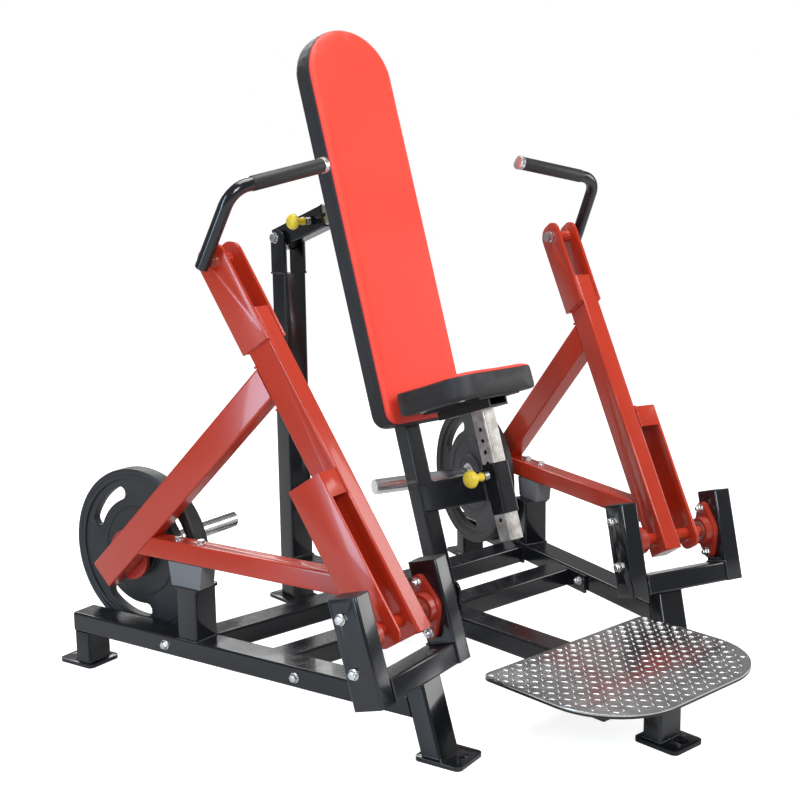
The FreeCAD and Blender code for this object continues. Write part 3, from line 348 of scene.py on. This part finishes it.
TREAD = metal("polished_tread", (0.78, 0.78, 0.79, 1), (0.50, 0.50, 0.51, 1), 0.13, 220, 26,
              0.35, 0.06, painted=((0, 0, -1), -DARK_EDGE_TOP, (0.012, 0.010, 0.010, 1)))
END_METAL = metal("turned_aluminium", (0.84, 0.84, 0.85, 1), (0.70, 0.70, 0.70, 1), 0.22, 420,
                  60, 0.30, 0.05)

# %% [markdown]
# Rubber and plastic. Moulded rubber is matt with a fine pebble; the weight plates are a firmer,
# slightly shiny urethane; the bumpers are grey and chalky; knobs are smooth yellow plastic
# with a little grime.

# %% Rubber and plastic
def moulded(name, colour, pale, roughness, pebble, depth, coat=0.0):
    skin = Finish(name)
    cloud = skin.noise(9, 5.0)
    fine = skin.noise(pebble, 3.0)
    grime = skin.noise(45, 5.0).ramp(0.55, 0.85)
    base = skin.mix(cloud * 0.6 + grime * 0.3, colour, pale)
    return skin.done(Base_Color=base, Roughness=roughness + cloud * 0.10 + grime * 0.08,
                     Coat_Weight=coat, Coat_Roughness=0.2, Normal=skin.bump(fine, 0.25, depth))


PLATE_RUBBER = moulded("plate_urethane", (0.014, 0.014, 0.016, 1), (0.030, 0.030, 0.032, 1),
                       0.40, 380, 0.0006)
GRIP_RUBBER = moulded("grip_rubber", (0.010, 0.010, 0.011, 1), (0.022, 0.022, 0.023, 1),
                      0.44, 520, 0.0007)
BUMPER_RUBBER = moulded("bumper_rubber", (0.13, 0.13, 0.135, 1), (0.24, 0.24, 0.24, 1),
                        0.62, 300, 0.0008)
CAP_PLASTIC = moulded("cap_plastic", (0.012, 0.012, 0.013, 1), (0.024, 0.024, 0.025, 1),
                      0.38, 600, 0.0004)
KNOB_PLASTIC = moulded("knob_plastic", (0.86, 0.66, 0.03, 1), (0.72, 0.52, 0.03, 1),
                       0.26, 200, 0.0003, 0.3)


def backdrop():
    """A pale floor that looks white to the camera but sends little light up at the machine."""
    paper = Finish("studio_floor_paint")
    seen = paper.node("LightPath")["Is Camera Ray"]
    seen_glow = paper.mix(seen, (0, 0, 0, 1), (0.84, 0.84, 0.84, 1))
    return paper.done(Base_Color=(0.62, 0.62, 0.62, 1), Roughness=0.8, Emission_Color=seen_glow,
                      Emission_Strength=1.0)


floor.data.materials.append(backdrop())

# %% [markdown]
# Upholstery. The pads wear two vinyls: bright red on the face and black round the border, sewn
# together close to the front edge. One material carries both, because the join follows a plane
# at a fixed depth of the pad. The grain is a leather pebble of two cell patterns, and the seam
# is a narrow pinched groove whose colour is darkened towards black as painted shade.

# %% Two-tone vinyl
def vinyl(name, normal, seam):
    """`normal` points out of the pad's face; the seam lies at `seam` metres along it."""
    hide = Finish(name)
    depth = hide.along(normal) - seam
    face = depth.ramp(-0.0004, 0.0004)
    cells = hide.node("TexVoronoi", {"feature": "DISTANCE_TO_EDGE"},
                      {"Vector": hide.place(), "Scale": 620.0})["Distance"]
    pores = hide.noise(900, 2.0)
    crease = hide.noise(22, 5.0)
    shade = hide.noise(4, 3.0)
    red = hide.mix(shade, (0.80, 0.038, 0.018, 1), (0.90, 0.056, 0.026, 1))
    black = hide.mix(crease, (0.011, 0.011, 0.013, 1), (0.024, 0.024, 0.027, 1))
    groove = 1 - abs(depth).ramp(0.0004, 0.0022)
    height = cells.ramp(0.0, 0.25) * 0.5 + pores * 0.2 + crease * 0.5 - groove * 3.0
    colour = hide.mix(face, black, red)
    # Along the seam groove the colour is pulled towards black: painted shade in the crease.
    colour = hide.mix(groove * 0.65, colour, (0.01, 0.008, 0.008, 1))
    return hide.done(Base_Color=colour, Roughness=0.36 + crease * 0.12 + groove * 0.2,
                     Sheen_Weight=0.05, Normal=hide.bump(height, 0.35, 0.0007))


BACK_SEAM = (RECLINE @ Vector((0, -0.0870, 0))).dot(PAD_FRONT)
SEAT_SEAM = (RECLINE @ Vector((0, 0, 0.5215))).dot(SEAT_UP)
BACK_VINYL = vinyl("back_vinyl", PAD_FRONT, BACK_SEAM)
SEAT_VINYL = vinyl("seat_vinyl", SEAT_UP, SEAT_SEAM)
print("finishes:", len(bpy.data.materials))

# %% [markdown]
# Now the CAD nodes get their finishes. The list is read by name: levers are red, the standing
# frame is black, and the fittings keep their own metals.

# %% Paint the frame
FINISHES = {
    "main_tube": RED_COAT, "back_arm": RED_COAT, "strut": RED_COAT, "gusset": RED_COAT,
    "ears": RED_COAT, "pivot_shaft": RED_COAT, "bearing_rings": STEEL,
    "bearing_housings": CAST_COAT, "bumper": BUMPER_RUBBER, "left_weight_horn": HORNS["left"],
    "right_weight_horn": HORNS["right"], "weight_plate": PLATE_RUBBER,
    "handle_crank": BLACK_COAT, "handle_grip": GRIP_RUBBER, "handle_pin": ZINC,
    "bumper_bolts": ZINC, "frame_bolts": ZINC, "bearing_bolts": ZINC, "hinge_bolts": ZINC,
    "brace_pin": ZINC, "tube_caps": CAP_PLASTIC, "foot_platform": TREAD, "seat_post": POST,
    "strut_slide": GALVANISED, "seat_pin": KNOB_PLASTIC, "strut_pin": KNOB_PLASTIC,
}


def finish_of(name):
    plain = name.removeprefix("left_").removeprefix("right_")
    return FINISHES.get(name) or FINISHES.get(plain, BLACK_COAT)


def dress(piece, material):
    piece.data.materials.clear()
    piece.data.materials.append(material)


for name, node in nodes.items():
    for index in range(max(1, len(node.material_slots))):
        if index < len(node.material_slots):
            node.material_slots[index].material = finish_of(name)
        else:
            node.data.materials.append(finish_of(name))
print("painted", len(nodes), "nodes")

# %% [markdown]
# Three helpers carry the modelling. `lathe` turns a profile the way a lathe would, by extruding
# and scaling a ring. `settle` names a piece, gives it its finish and its body, and hides the
# CAD nodes it stands for. `copies` repeats one finished pattern at many places.

# %% Modelling helpers
def lathe(steps, sides=48):
    """Turns (radius, height) steps in millimetres round Z into a closed solid."""
    deselect()
    radius, height = steps[0]
    bpy.ops.mesh.primitive_circle_add(vertices=sides, radius=radius * MM, fill_type="NGON",
                                      location=(0, 0, height * MM))
    bpy.ops.object.mode_set(mode="EDIT")
    bpy.ops.mesh.select_all(action="SELECT")
    for next_radius, next_height in steps[1:]:
        rise = (next_height - height) * MM
        bpy.ops.mesh.extrude_region_move(TRANSFORM_OT_translate={"value": (0, 0, rise)})
        factor = next_radius / radius
        bpy.ops.transform.resize(value=(factor, factor, 1),
                                 center_override=(0, 0, next_height * MM))
        radius, height = next_radius, next_height
    bpy.ops.mesh.select_all(action="SELECT")
    bpy.ops.mesh.normals_make_consistent(inside=False)
    bpy.ops.object.mode_set(mode="OBJECT")
    bpy.ops.object.transform_apply(location=True, rotation=True, scale=True)
    return bpy.context.object


def settle(piece, name, body, material, base=None, replaces=(), smooth=35):
    """Places a finished piece, paints it and lets it ride on its body."""
    piece.name = name
    if base is not None:
        piece.data.transform(base)
    dress(piece, material)
    deselect()
    piece.select_set(True)
    bpy.context.view_layer.objects.active = piece
    bpy.ops.object.shade_smooth_by_angle(angle=math.radians(smooth))
    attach(piece, body)
    if replaces:
        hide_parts(*replaces)
    return piece


def join(pieces):
    deselect()
    for piece in pieces:
        piece.select_set(True)
    bpy.context.view_layer.objects.active = pieces[0]
    if len(pieces) > 1:
        bpy.ops.object.join()
    return bpy.context.view_layer.objects.active


def copies(pattern, places):
    """One mesh made of `pattern` repeated at each of `places`."""
    twins = []
    for place in places:
        twin = bpy.data.objects.new("copy", pattern.data.copy())
        twin.data.transform(place)
        bpy.context.scene.collection.objects.link(twin)
        twins.append(twin)
    return join(twins)


def discard(pattern):
    bpy.data.objects.remove(pattern, do_unlink=True)


# %% [markdown]
# Bolts. A real zinc hex bolt has a chamfered head with a shallow dome, a washer, and at the far
# end a nut with a little thread standing proud. One of each is turned and then copied to every
# place where the frame is bolted.

# %% Bolt patterns
def bolt_head(across, tall, washer):
    """A head with its washer; its seat is at Z = 0 and it points up."""
    base = lathe([(washer, 0), (washer, 1.6), (washer - 0.8, 2.0)], 40)
    hexagon = lathe([(across * 0.97, 2.0), (across, 2.8), (across, tall - 0.6),
                     (across * 0.90, tall + 1.0), (across * 0.72, tall + 1.5)], 6)
    crown = lathe([(across * 0.80, tall), (across * 0.78, tall + 1.2), (across * 0.55, tall + 1.9),
                   (across * 0.1, tall + 2.1)], 32)
    return join([base, hexagon, crown])


def bolt_nut(across, tall, washer, shank):
    base = lathe([(washer, 0), (washer, 1.6), (washer - 0.8, 2.0)], 40)
    hexagon = lathe([(across * 0.92, 2.0), (across, 3.0), (across, tall),
                     (across * 0.92, tall + 1.6)], 6)
    thread = [(shank, tall)]
    for turn in range(4):
        low = tall + 1.5 + turn * 1.5
        thread += [(shank, low), (shank * 0.90, low + 0.75)]
    thread += [(shank * 0.8, tall + 8.2)]
    return join([base, hexagon, lathe(thread, 24)])


FLIP = Matrix.Rotation(math.pi, 4, "X")


def bolted(name, body, places, replaces, across=10.5, tall=9.0, washer=12.5, shank=6.0):
    """Bolts at `places`, each a (start frame, grip); the head points back along the frame's Z."""
    head = bolt_head(across, tall, washer)
    nut = bolt_nut(across, tall, washer, shank)
    heads = copies(head, [start @ FLIP for start, grip in places])
    nuts = copies(nut, [spot(start, 0, 0, grip) for start, grip in places if grip > 0])
    discard(head)
    discard(nut)
    whole = join([heads, nuts])
    return settle(whole, name, body, ZINC, replaces=replaces, smooth=28)


# %% Frame bolts
def outward_x(side):
    """Turns local Z to point inboard from a side frame's outer face."""
    return Matrix.Rotation(math.radians(-90 * side), 4, "Y")


RAIL_MIDDLE, RAIL_GRIP = 114.6, 84.2
rail_places = []
for side in (LEFT, RIGHT):
    for along in (307, 716):
        face = spot(side_frame(side), side * HALF, along, RAIL_MIDDLE)
        rail_places.append((face @ outward_x(side), RAIL_GRIP))
bolted("rail_bolt_set", "frame", rail_places, ["frame_bolts"])

HOUSING_UP = BRACKET.to_3x3() @ Vector((0, 0, 1))
HOUSING_REACH, HOUSING_GRIP = 58.5, 64.8
bearing_places = []
for side in (LEFT, RIGHT):
    for face, way in zip(CHEEK_FACES, (1, -1)):
        for k in (-1, 1):
            centre = Vector((0, *PIVOT_LINE)) + HOUSING_UP * HOUSING_REACH * k
            start = spot(side_frame(side), side * (face - way * THIN), centre.y, centre.z)
            turn = Matrix.Rotation(math.radians(90 * way * side), 4, "Y")
            bearing_places.append((start @ turn, HOUSING_GRIP))
bolted("bearing_bolt_set", "frame", bearing_places, ["bearing_bolts"])

HINGE_HALF = 34.4
hinge_bolt = spot(Matrix(), -HINGE_HALF, *RECLINE_LINE)
brace_bolt = spot(Matrix.Translation(BRACE_HINGE), -HALF, 0, 0)
hinge_places = [(hinge_bolt @ TO_X, 2 * HINGE_HALF), (brace_bolt @ TO_X, 2 * HALF)]
bolted("hinge_bolt_set", "frame", hinge_places, ["hinge_bolts"], across=14.5, washer=16.5, shank=8)
print("bolts:", len(rail_places) + len(bearing_places) + len(hinge_places))

# %% Bumper bolts
STRUT_TOP = 385.8
for side, word in SIDES:
    head = bolt_head(10.5, 9.0, 12.5)
    heads = copies(head, [spot(side_frame(side), side * LEVER_INNER, along, STRUT_TOP)
                          for along in (605, 677)])
    discard(head)
    settle(heads, f"{word}_bumper_bolt_set", f"{word}_lever", ZINC,
           replaces=[f"{word}_bumper_bolts"], smooth=28)

# %% [markdown]
# The pads. Real pads are foam on a board under stretched vinyl: flat behind, gently crowned in
# front, with a rounded edge. Each starts as a block with its corners rounded, becomes a fine
# even mesh, and is then inflated by a short cloth simulation with its back pinned to the board.
# Movement is capped so that the pad keeps clear of the steel around it.

# %% Cushions
FACE_EDGE, BACK_EDGE = 9, 5
VOXEL, SWELL_LIMIT, PINNED_BELOW = 5.5, 3.0, 9.0


def near(value, target):
    return abs(value - target) < 1e-5


def select_edges(piece, test):
    """Selects the edges whose two ends both pass `test`, in edge mode."""
    bpy.ops.object.mode_set(mode="OBJECT")
    bpy.context.tool_settings.mesh_select_mode = (False, True, False)
    points = piece.data.vertices
    for part in (piece.data.vertices, piece.data.polygons, piece.data.edges):
        part.foreach_set("select", [False] * len(part))
    for edge in piece.data.edges:
        first, second = (points[i].co for i in edge.vertices)
        edge.select = test(first, second)
    bpy.ops.object.mode_set(mode="EDIT")


def block(half, low, high, thick, rounds, edge, back_edge):
    """A pad's blank: X across, Y along, Z out of its face; `rounds` are (is_high, radius)."""
    deselect()
    bpy.ops.mesh.primitive_cube_add(size=1, location=(0, (low + high) / 2 * MM, thick / 2 * MM))
    piece = bpy.context.object
    piece.scale = (2 * half * MM, (high - low) * MM, thick * MM)
    bpy.ops.object.transform_apply(location=True, rotation=True, scale=True)
    for is_high, radius in rounds:
        level = (high if is_high else low) * MM
        select_edges(piece, lambda a, b: near(a.y, level) and near(b.y, level) and near(a.x, b.x)
                     and not near(a.z, b.z))
        bpy.ops.mesh.bevel(offset=radius * MM, segments=20, affect="EDGES")
    for level, radius in ((thick * MM, edge), (0.0, back_edge)):
        select_edges(piece, lambda a, b: near(a.z, level) and near(b.z, level))
        bpy.ops.mesh.bevel(offset=radius * MM, segments=4, affect="EDGES")
    bpy.ops.object.mode_set(mode="OBJECT")
    return piece


def inflate(piece, cap, pinned):
    """Swells the pad by cloth pressure, with everything below `pinned` millimetres held."""
    held = piece.vertex_groups.new(name="held")
    low = [point.index for point in piece.data.vertices if point.co.z < pinned * MM]
    held.add(low, 1.0, "REPLACE")
    cloth = piece.modifiers.new("cloth", "CLOTH")
    cloth.settings.quality = 5
    cloth.settings.mass = 0.3
    cloth.settings.tension_stiffness = 80
    cloth.settings.compression_stiffness = 80
    cloth.settings.bending_stiffness = 12.0
    cloth.settings.use_pressure = True
    cloth.settings.uniform_pressure_force = 4.0
    cloth.settings.vertex_group_mass = "held"
    cloth.settings.effector_weights.gravity = 0.0
    start = [point.co.copy() for point in piece.data.vertices]
    for step in range(1, 21):
        bpy.context.scene.frame_set(step)
    swollen = piece.evaluated_get(bpy.context.evaluated_depsgraph_get()).data
    moved = [point.co.copy() for point in swollen.vertices]
    piece.modifiers.remove(cloth)
    for point, before, after in zip(piece.data.vertices, start, moved):
        way = after - before
        if way.length > cap * MM:
            way = way.normalized() * cap * MM
        point.co = before + way
    bpy.context.scene.frame_set(1)


def cushion(name, node, base, material, half, low, high, thick, rounds, body):
    blank = block(half - 1, low + 1, high + 3, thick - 3, rounds, FACE_EDGE, BACK_EDGE)
    blank.data.remesh_voxel_size = VOXEL * MM
    bpy.ops.object.voxel_remesh()
    inflate(blank, SWELL_LIMIT, PINNED_BELOW)
    smoother = blank.modifiers.new("smoother", "SMOOTH")
    smoother.factor = 0.5
    smoother.iterations = 9
    bpy.ops.object.modifier_apply(modifier="smoother")
    finer = blank.modifiers.new("finer", "SUBSURF")
    finer.levels = finer.render_levels = 1
    bpy.ops.object.modifier_apply(modifier="finer")
    pad = settle(blank, name, body, material, base=base, replaces=[node], smooth=60)
    print(name, len(pad.data.polygons), "faces")


BACK_PAD = spot(RECLINE, 0, -31.3, 446) @ Matrix.Rotation(math.radians(90), 4, "X")
SEAT_PAD = spot(RECLINE, 0, 0, 464.7)
cushion("back_cushion", "back_pad", BACK_PAD, BACK_VINYL, 142, 0, 1064, 66.5,
        ((True, 136), (False, 40)), "carriage")
cushion("seat_cushion", "seat_pad", SEAT_PAD, SEAT_VINYL, 142, -389, -124, 66,
        ((False, 60), (True, 44)), "seat")

# %% [markdown]
# Under each pad is its board: plywood wrapped in black vinyl, held by screws. It shows from
# behind and below, so it gets a stapled edge and a row of screw heads of its own.

# %% Pad boards
QUARTER = Matrix.Rotation(math.pi / 2, 4, "Z")


def board(name, base, half, low, high, rounds, body, screws):
    blank = block(half, low, high, 7.0, rounds, 1.5, 1.5)
    settle(blank, name, body, CAP_PLASTIC, base=base)
    staple = lathe([(0.7, 0), (0.7, 0.8), (0.4, 1.1)], 6)
    staple.data.transform(Matrix.Diagonal((7, 1, 1, 1)))
    rows = []
    for level in range(int(low + 60), int(high - 60), 24):
        for side in (-1, 1):
            rows.append(spot(base, side * (half - 9), level, 0) @ FLIP @ QUARTER)
    settle(copies(staple, rows), name + "_staples", body, ZINC)
    discard(staple)
    screw = lathe([(9, -1), (9, 0.6), (7.5, 2.6), (3, 3.4)], 24)
    heads = copies(screw, [spot(base, x, y, 0) @ FLIP for x, y in screws])
    discard(screw)
    settle(heads, name + "_screws", body, ZINC)


board("back_board", spot(BACK_PAD, 0, 0, 1.0), 128, 14, 1050, ((True, 125), (False, 30)),
      "carriage", [(x, y) for x in (-45, 45) for y in (60, 300, 520, 860, 960)])
board("seat_board", spot(SEAT_PAD, 0, 0, 1.0), 128, -375, -138, ((False, 50), (True, 36)), "seat",
      [(x, y) for x in (-95, 95) for y in (-330, -185)])

# %% [markdown]
# The tread plate. Rolled tread is a flat polished sheet with raised lens-shaped lugs, each row
# turned across the one before. Real lugs catch the light one by one, so they are geometry: one
# small lug is modelled and repeated over the sheet wherever it fits inside the rounded corners.

# %% Tread lugs
PLATE_HALF, PLATE_FRONT, PLATE_REAR, PLATE_ROUND = 290, -465, -60, 180
LUG_PITCH = 23.0


def on_plate(x, y, margin=12):
    """Whether a lug's centre lies on the sheet, away from its edge."""
    if abs(x) > PLATE_HALF - margin or not PLATE_FRONT + margin < y < PLATE_REAR - margin:
        return False
    over_x = abs(x) - (PLATE_HALF - PLATE_ROUND)
    over_y = (PLATE_FRONT + PLATE_ROUND) - y
    return over_x < 0 or over_y < 0 or math.hypot(over_x, over_y) < PLATE_ROUND - margin


deselect()
bpy.ops.mesh.primitive_uv_sphere_add(segments=10, ring_count=6, radius=1)
lug = bpy.context.object
lug.scale = (9.6 * MM, 2.7 * MM, 1.7 * MM)
bpy.ops.object.transform_apply(location=True, rotation=True, scale=True)
lug_places = []
for column in range(-14, 15):
    for row in range(-11, 12):
        x, y = column * LUG_PITCH, (PLATE_FRONT + PLATE_REAR) / 2 + row * LUG_PITCH
        if on_plate(x, y):
            turn = math.radians(45 if (column + row) % 2 else -45)
            lug_places.append(spot(Matrix(), x, y, 150.0) @ Matrix.Rotation(turn, 4, "Z"))
lugs = copies(lug, lug_places)
discard(lug)
settle(lugs, "tread_lugs", "frame", TREAD, smooth=60)
print("tread lugs:", len(lug_places))

# %% [markdown]
# Softened steel. Laser-cut plate and moulded parts never have perfectly sharp edges; a small
# bevel gives each edge the thin highlight that makes it read as thick metal. The CAD node's mesh
# is copied, merged and bevelled, and the copy stands for the node.

# %% Softened copies
def softened(name, body, width, segments=2, angle=32):
    source = nodes[name]
    deselect()
    copy = bpy.data.objects.new(name + "_soft", source.data.copy())
    bpy.context.scene.collection.objects.link(copy)
    copy.select_set(True)
    bpy.context.view_layer.objects.active = copy
    bpy.ops.object.mode_set(mode="EDIT")
    bpy.ops.mesh.select_all(action="SELECT")
    bpy.ops.mesh.remove_doubles(threshold=1e-5)
    bpy.ops.mesh.dissolve_limited(angle_limit=math.radians(0.5))
    bpy.ops.object.mode_set(mode="OBJECT")
    bevel = copy.modifiers.new("edges", "BEVEL")
    bevel.width = width * MM
    bevel.segments = segments
    bevel.limit_method = "ANGLE"
    bevel.angle_limit = math.radians(angle)
    bevel.use_clamp_overlap = True
    bpy.ops.object.modifier_apply(modifier="edges")
    return settle(copy, name + "_soft", body, finish_of(name), replaces=[name], smooth=angle)


for word in ("left", "right"):
    for part in ("ears", "gusset", "main_tube", "back_arm", "strut"):
        softened(f"{word}_{part}", f"{word}_lever", 0.7)
    softened(f"{word}_bumper", f"{word}_lever", 3.0, 3)
    softened(f"{word}_weight_plate", f"{word}_plate", 2.6, 3)
    for part in ("pivot_bracket", "bumper_post", "front_leg", "rear_leg"):
        softened(f"{word}_{part}", "frame", 0.8)
softened("foot_platform", "frame", 1.2)
softened("mast", "frame", 0.8)
softened("mast_foot", "frame", 1.0)
softened("platform_frame", "frame", 0.8)
softened("tube_caps", "frame", 1.2)
print("softened copies made")

# %% [markdown]
# Weight plates carry more relief than a plain disc: a bead round the rim, a stepped steel hub
# in the middle and a raised rib round it.

# %% Plate relief
HORN_PLACE = (-HALF, 70.0)
PLATE_OUT = 29.8


def horn_base(side, out):
    """The horn's axis, `out` millimetres inboard of the arm; local Z points inboard."""
    base = spot(side_frame(side) @ ARM, side * -LEVER_INNER, *HORN_PLACE)
    return spot(base @ outward_x(side), 0, 0, out)


def ring(outer, inner, low, high):
    """A rounded ring round Z."""
    deselect()
    bpy.ops.mesh.primitive_torus_add(major_radius=(outer + inner) / 2 * MM,
                                     minor_radius=(outer - inner) / 2 * MM,
                                     major_segments=96, minor_segments=12,
                                     location=(0, 0, (low + high) / 2 * MM))
    piece = bpy.context.object
    piece.scale.z = (high - low) / (outer - inner)
    bpy.ops.object.transform_apply(location=True, rotation=True, scale=True)
    return piece


for side, word in SIDES:
    face = horn_base(side, PLATE_OUT)
    relief = join([ring(216.5, 204.5, 34.5, 42.2), ring(216.5, 204.5, -2.2, 5.5),
                   ring(64, 56, 36, 42), ring(64, 56, -2, 4),
                   ring(118, 112, 29.8, 34), ring(118, 112, 6, 10.2)])
    settle(relief, f"{word}_plate_beads", f"{word}_plate", PLATE_RUBBER, base=face)
    hub = join([ring(36, 25.6, 38.5, 41.5), ring(36, 25.6, -1.5, 1.5)])
    settle(hub, f"{word}_plate_hub", f"{word}_plate", STEEL, base=face)

# %% [markdown]
# Handles. The grip is a thin smooth rubber sleeve, hardly thicker than the crank's own tube; a
# turned aluminium cap closes it. Both are lathed along the grip's own axis.

# %% Handle grips
PIN_PLACE = LEVER @ Vector((0, 0.001, 0.912))


def handle_base(side):
    """At the ear pin: Y runs up the crank, and X lies towards the grip."""
    crank = Matrix.Rotation(math.radians(29.0), 3, "X") @ Vector((0, 0, 1))
    reach = Vector((-side * 0.973, -0.156, 0.170))
    sideways = (reach - crank * reach.dot(crank)).normalized()
    turn = Matrix((sideways, crank, sideways.cross(crank))).transposed().to_4x4()
    place = Matrix.Translation((side * 0.070, PIN_PLACE.y, PIN_PLACE.z))
    return side_frame(side) @ place @ turn


GRIP_TURN = math.radians(77.0)
CRANK_RISE, GRIP_REACH, GRIP_START, CAP_LONG = 184.6, 288.8, 58.0, 12.0


def grip_base(side):
    way = Vector((math.sin(GRIP_TURN), math.cos(GRIP_TURN), 0))
    corner = spot(handle_base(side), 0, CRANK_RISE, 0)
    return corner @ way.to_track_quat("Z", "X").to_matrix().to_4x4()


sleeve_end = GRIP_REACH - CAP_LONG
sleeve = [(16.2, GRIP_START - 1), (17.0, GRIP_START), (17.6, GRIP_START + 2),
          (17.6, sleeve_end - 3), (17.2, sleeve_end - 0.6), (16.4, sleeve_end)]
cap = [(radius, sleeve_end + rise) for radius, rise in (
    (16.3, 0), (18.0, 0.2), (18.6, 1.0), (18.6, 12.5), (17.8, 14.0), (16.0, 14.8),
    (6.0, 15.0), (0.5, 15.0))]
for side, word in SIDES:
    settle(lathe(sleeve, 40), f"{word}_grip_sleeve", f"{word}_handle", GRIP_RUBBER,
           base=grip_base(side), replaces=[f"{word}_handle_grip"])
    settle(lathe(cap, 40), f"{word}_grip_cap", f"{word}_handle", END_METAL,
           base=grip_base(side))
    plug = lathe([(15.9, -16.4), (15.9, -17.2), (14.5, -18.6), (10, -19.4), (1, -19.6)], 36)
    settle(plug, f"{word}_crank_plug", f"{word}_handle", CAP_PLASTIC,
           base=handle_base(side) @ Matrix.Rotation(math.radians(-90), 4, "X"))

# %% [markdown]
# Pull pins. A yellow knob with a waist and a domed head sits on a bright plunger that slides in
# a threaded barrel. The barrel belongs to the tube; the knob and plunger move together.

# %% Pull pins
def pull_pin(name, base, body, fixed_body):
    outward = base @ Matrix.Rotation(math.radians(-90), 4, "Y")
    plunger = lathe([(3.6, 0), (5, 1.4), (5, 60), (4.6, 60.5)], 32)
    settle(plunger, name + "_plunger", body, STEEL, base=outward,
           replaces=[name], smooth=28)
    knob = lathe([(9.0, 29.4), (11.0, 30.2), (11.4, 33), (9.6, 38), (8.8, 46), (10.0, 54),
                  (15.0, 59.5), (20.5, 61.5), (22.0, 64.0), (22.2, 68.0), (21.2, 72.5),
                  (18.0, 77.0), (12.5, 80.4), (5.0, 82.0), (0.6, 82.3)])
    settle(knob, name + "_knob", body, KNOB_PLASTIC, base=outward)
    thread = [(9.7, 10.6)]
    for turn in range(8):
        low = 11.4 + turn * 1.8
        thread += [(10.3, low), (9.75, low + 0.9)]
    thread += [(9.7, 26.4), (8.4, 27.4)]
    settle(lathe(thread, 32), name + "_barrel", fixed_body, STEEL,
           base=outward, smooth=28)


pull_pin("seat_pin", spot(RECLINE, -22.6, -294.5, 275.6), "seat_pull_pin", "carriage")
pull_pin("strut_pin", spot(BRACE, -22.6, 0, 165), "brace_pull_pin", "brace_tube")

# %% [markdown]
# Welds. Fabricated steel is covered in small rippled beads where tubes and plates meet. A bead
# is a row of flattened, overlapping blobs along a seam, painted over with the frame's coat.

# %% Weld beads
deselect()
bpy.ops.mesh.primitive_uv_sphere_add(segments=8, ring_count=5, radius=1)
blob = bpy.context.object
blob.scale = (2.3 * MM, 3.1 * MM, 3.1 * MM)
bpy.ops.object.transform_apply(location=True, rotation=True, scale=True)


def bead_places(start, end, pitch=2.7):
    """Places along one seam; the blobs' short axis follows it."""
    run = end - start
    count = max(2, int(run.length / (pitch * MM)))
    turn = run.to_track_quat("X", "Z").to_matrix().to_4x4()
    places = []
    for step in range(count + 1):
        swell = 1.0 + 0.08 * math.sin(step * 2.4)
        place = Matrix.Translation(start + run * (step / count)) @ turn
        places.append(place @ Matrix.Diagonal((1, swell, swell, 1)))
    return places


def weld(name, base, seams, body, material):
    """`seams` are pairs of points in millimetres in `base`."""
    places = []
    for start, end in seams:
        places += bead_places(base @ (Vector(start) * MM), base @ (Vector(end) * MM))
    return settle(copies(blob, places), name, body, material, smooth=60)


def tube_seams(front, rear, height):
    """The four seams round the end of an upright tube as wide as the frame."""
    corners = [(-HALF, front, height), (HALF, front, height), (HALF, rear, height),
               (-HALF, rear, height)]
    return list(zip(corners, corners[1:] + corners[:1]))


MAST_FRONT, MAST_REAR = 979, 1042.5


for side, word in SIDES:
    lever_base = side_frame(side) @ LEVER
    inner, outer = -LEVER_INNER * side, HALF * side
    seams = [((outer, -42.1, 358), (outer, 34.1, 358)),
             ((outer, -42.1, 299), (outer, -42.1, 357))]
    for face in (inner, outer):
        shift = side if face == outer else -side
        seams += [((face + shift * 0.5, -42.1, 686), (face + shift * 0.5, 34.0, 686)),
                  ((face + shift * 0.5, 34.1, 690), (face + shift * 0.5, 34.1, 765))]
    seams.append(((inner, 0, 765.5), (outer, 0, 765.5)))
    weld(f"{word}_lever_welds", lever_base, seams, f"{word}_lever", RED_COAT)

    across = [((inner, 34.6, 541), (outer, 34.6, 541)), ((inner, 34.6, 650), (outer, 34.6, 650))]
    weld(f"{word}_arm_welds", lever_base, across, f"{word}_lever", RED_COAT)

    bracket_base = side_frame(side) @ BRACKET
    seams = []
    for face in CHEEK_FACES:
        seams += [((face * side, 0, THIN), (face * side, 2 * HALF, THIN)),
                  ((face * side, 0, 2), (face * side, 0, 49))]
    seams += [((-HALF, THIN / 2, 0), (-HALF, 2 * HALF, 0)),
              ((HALF, THIN / 2, 0), (HALF, 2 * HALF, 0)),
              ((-HALF, THIN / 2, 0), (HALF, THIN / 2, 0))]
    weld(f"{word}_bracket_welds", bracket_base, seams, "frame", BLACK_COAT)

    seams = tube_seams(608.2, 671.8, RAIL_TOP) + tube_seams(991.2, 1042, FOOT_TOP)
    weld(f"{word}_rail_welds", side_frame(side), seams, "frame", BLACK_COAT)

seams = tube_seams(MAST_FRONT, MAST_REAR, FOOT_TOP) + tube_seams(-370.8, -320, FOOT_TOP)
seams += [((x, MAST_FRONT, 983), (x, MAST_REAR, 983)) for x in (-HALF, HALF)]
seams += [((x, MAST_FRONT, 90), (x, MAST_FRONT, RAIL_TOP)) for x in (-HALF, HALF)]
seams.append(((-HALF, MAST_FRONT, RAIL_TOP), (HALF, MAST_FRONT, RAIL_TOP)))
seams += [((x, 338, RAIL_TOP), (x, 398, RAIL_TOP)) for x in (-HINGE_HALF, HINGE_HALF)]
weld("centre_welds", Matrix(), seams, "frame", BLACK_COAT)
seat_seams = []
for y in (-THIN / 2, -269.1):
    seat_seams += [((x, y, 214), (x, y, 290)) for x in (-THIN / 2, THIN / 2)]
    seat_seams.append(((-THIN / 2, y, 290.2), (THIN / 2, y, 290.2)))
weld("seat_arm_welds", RECLINE, seat_seams, "carriage", BLACK_COAT)
discard(blob)
print("welds laid")

bpy.context.view_layer.update()
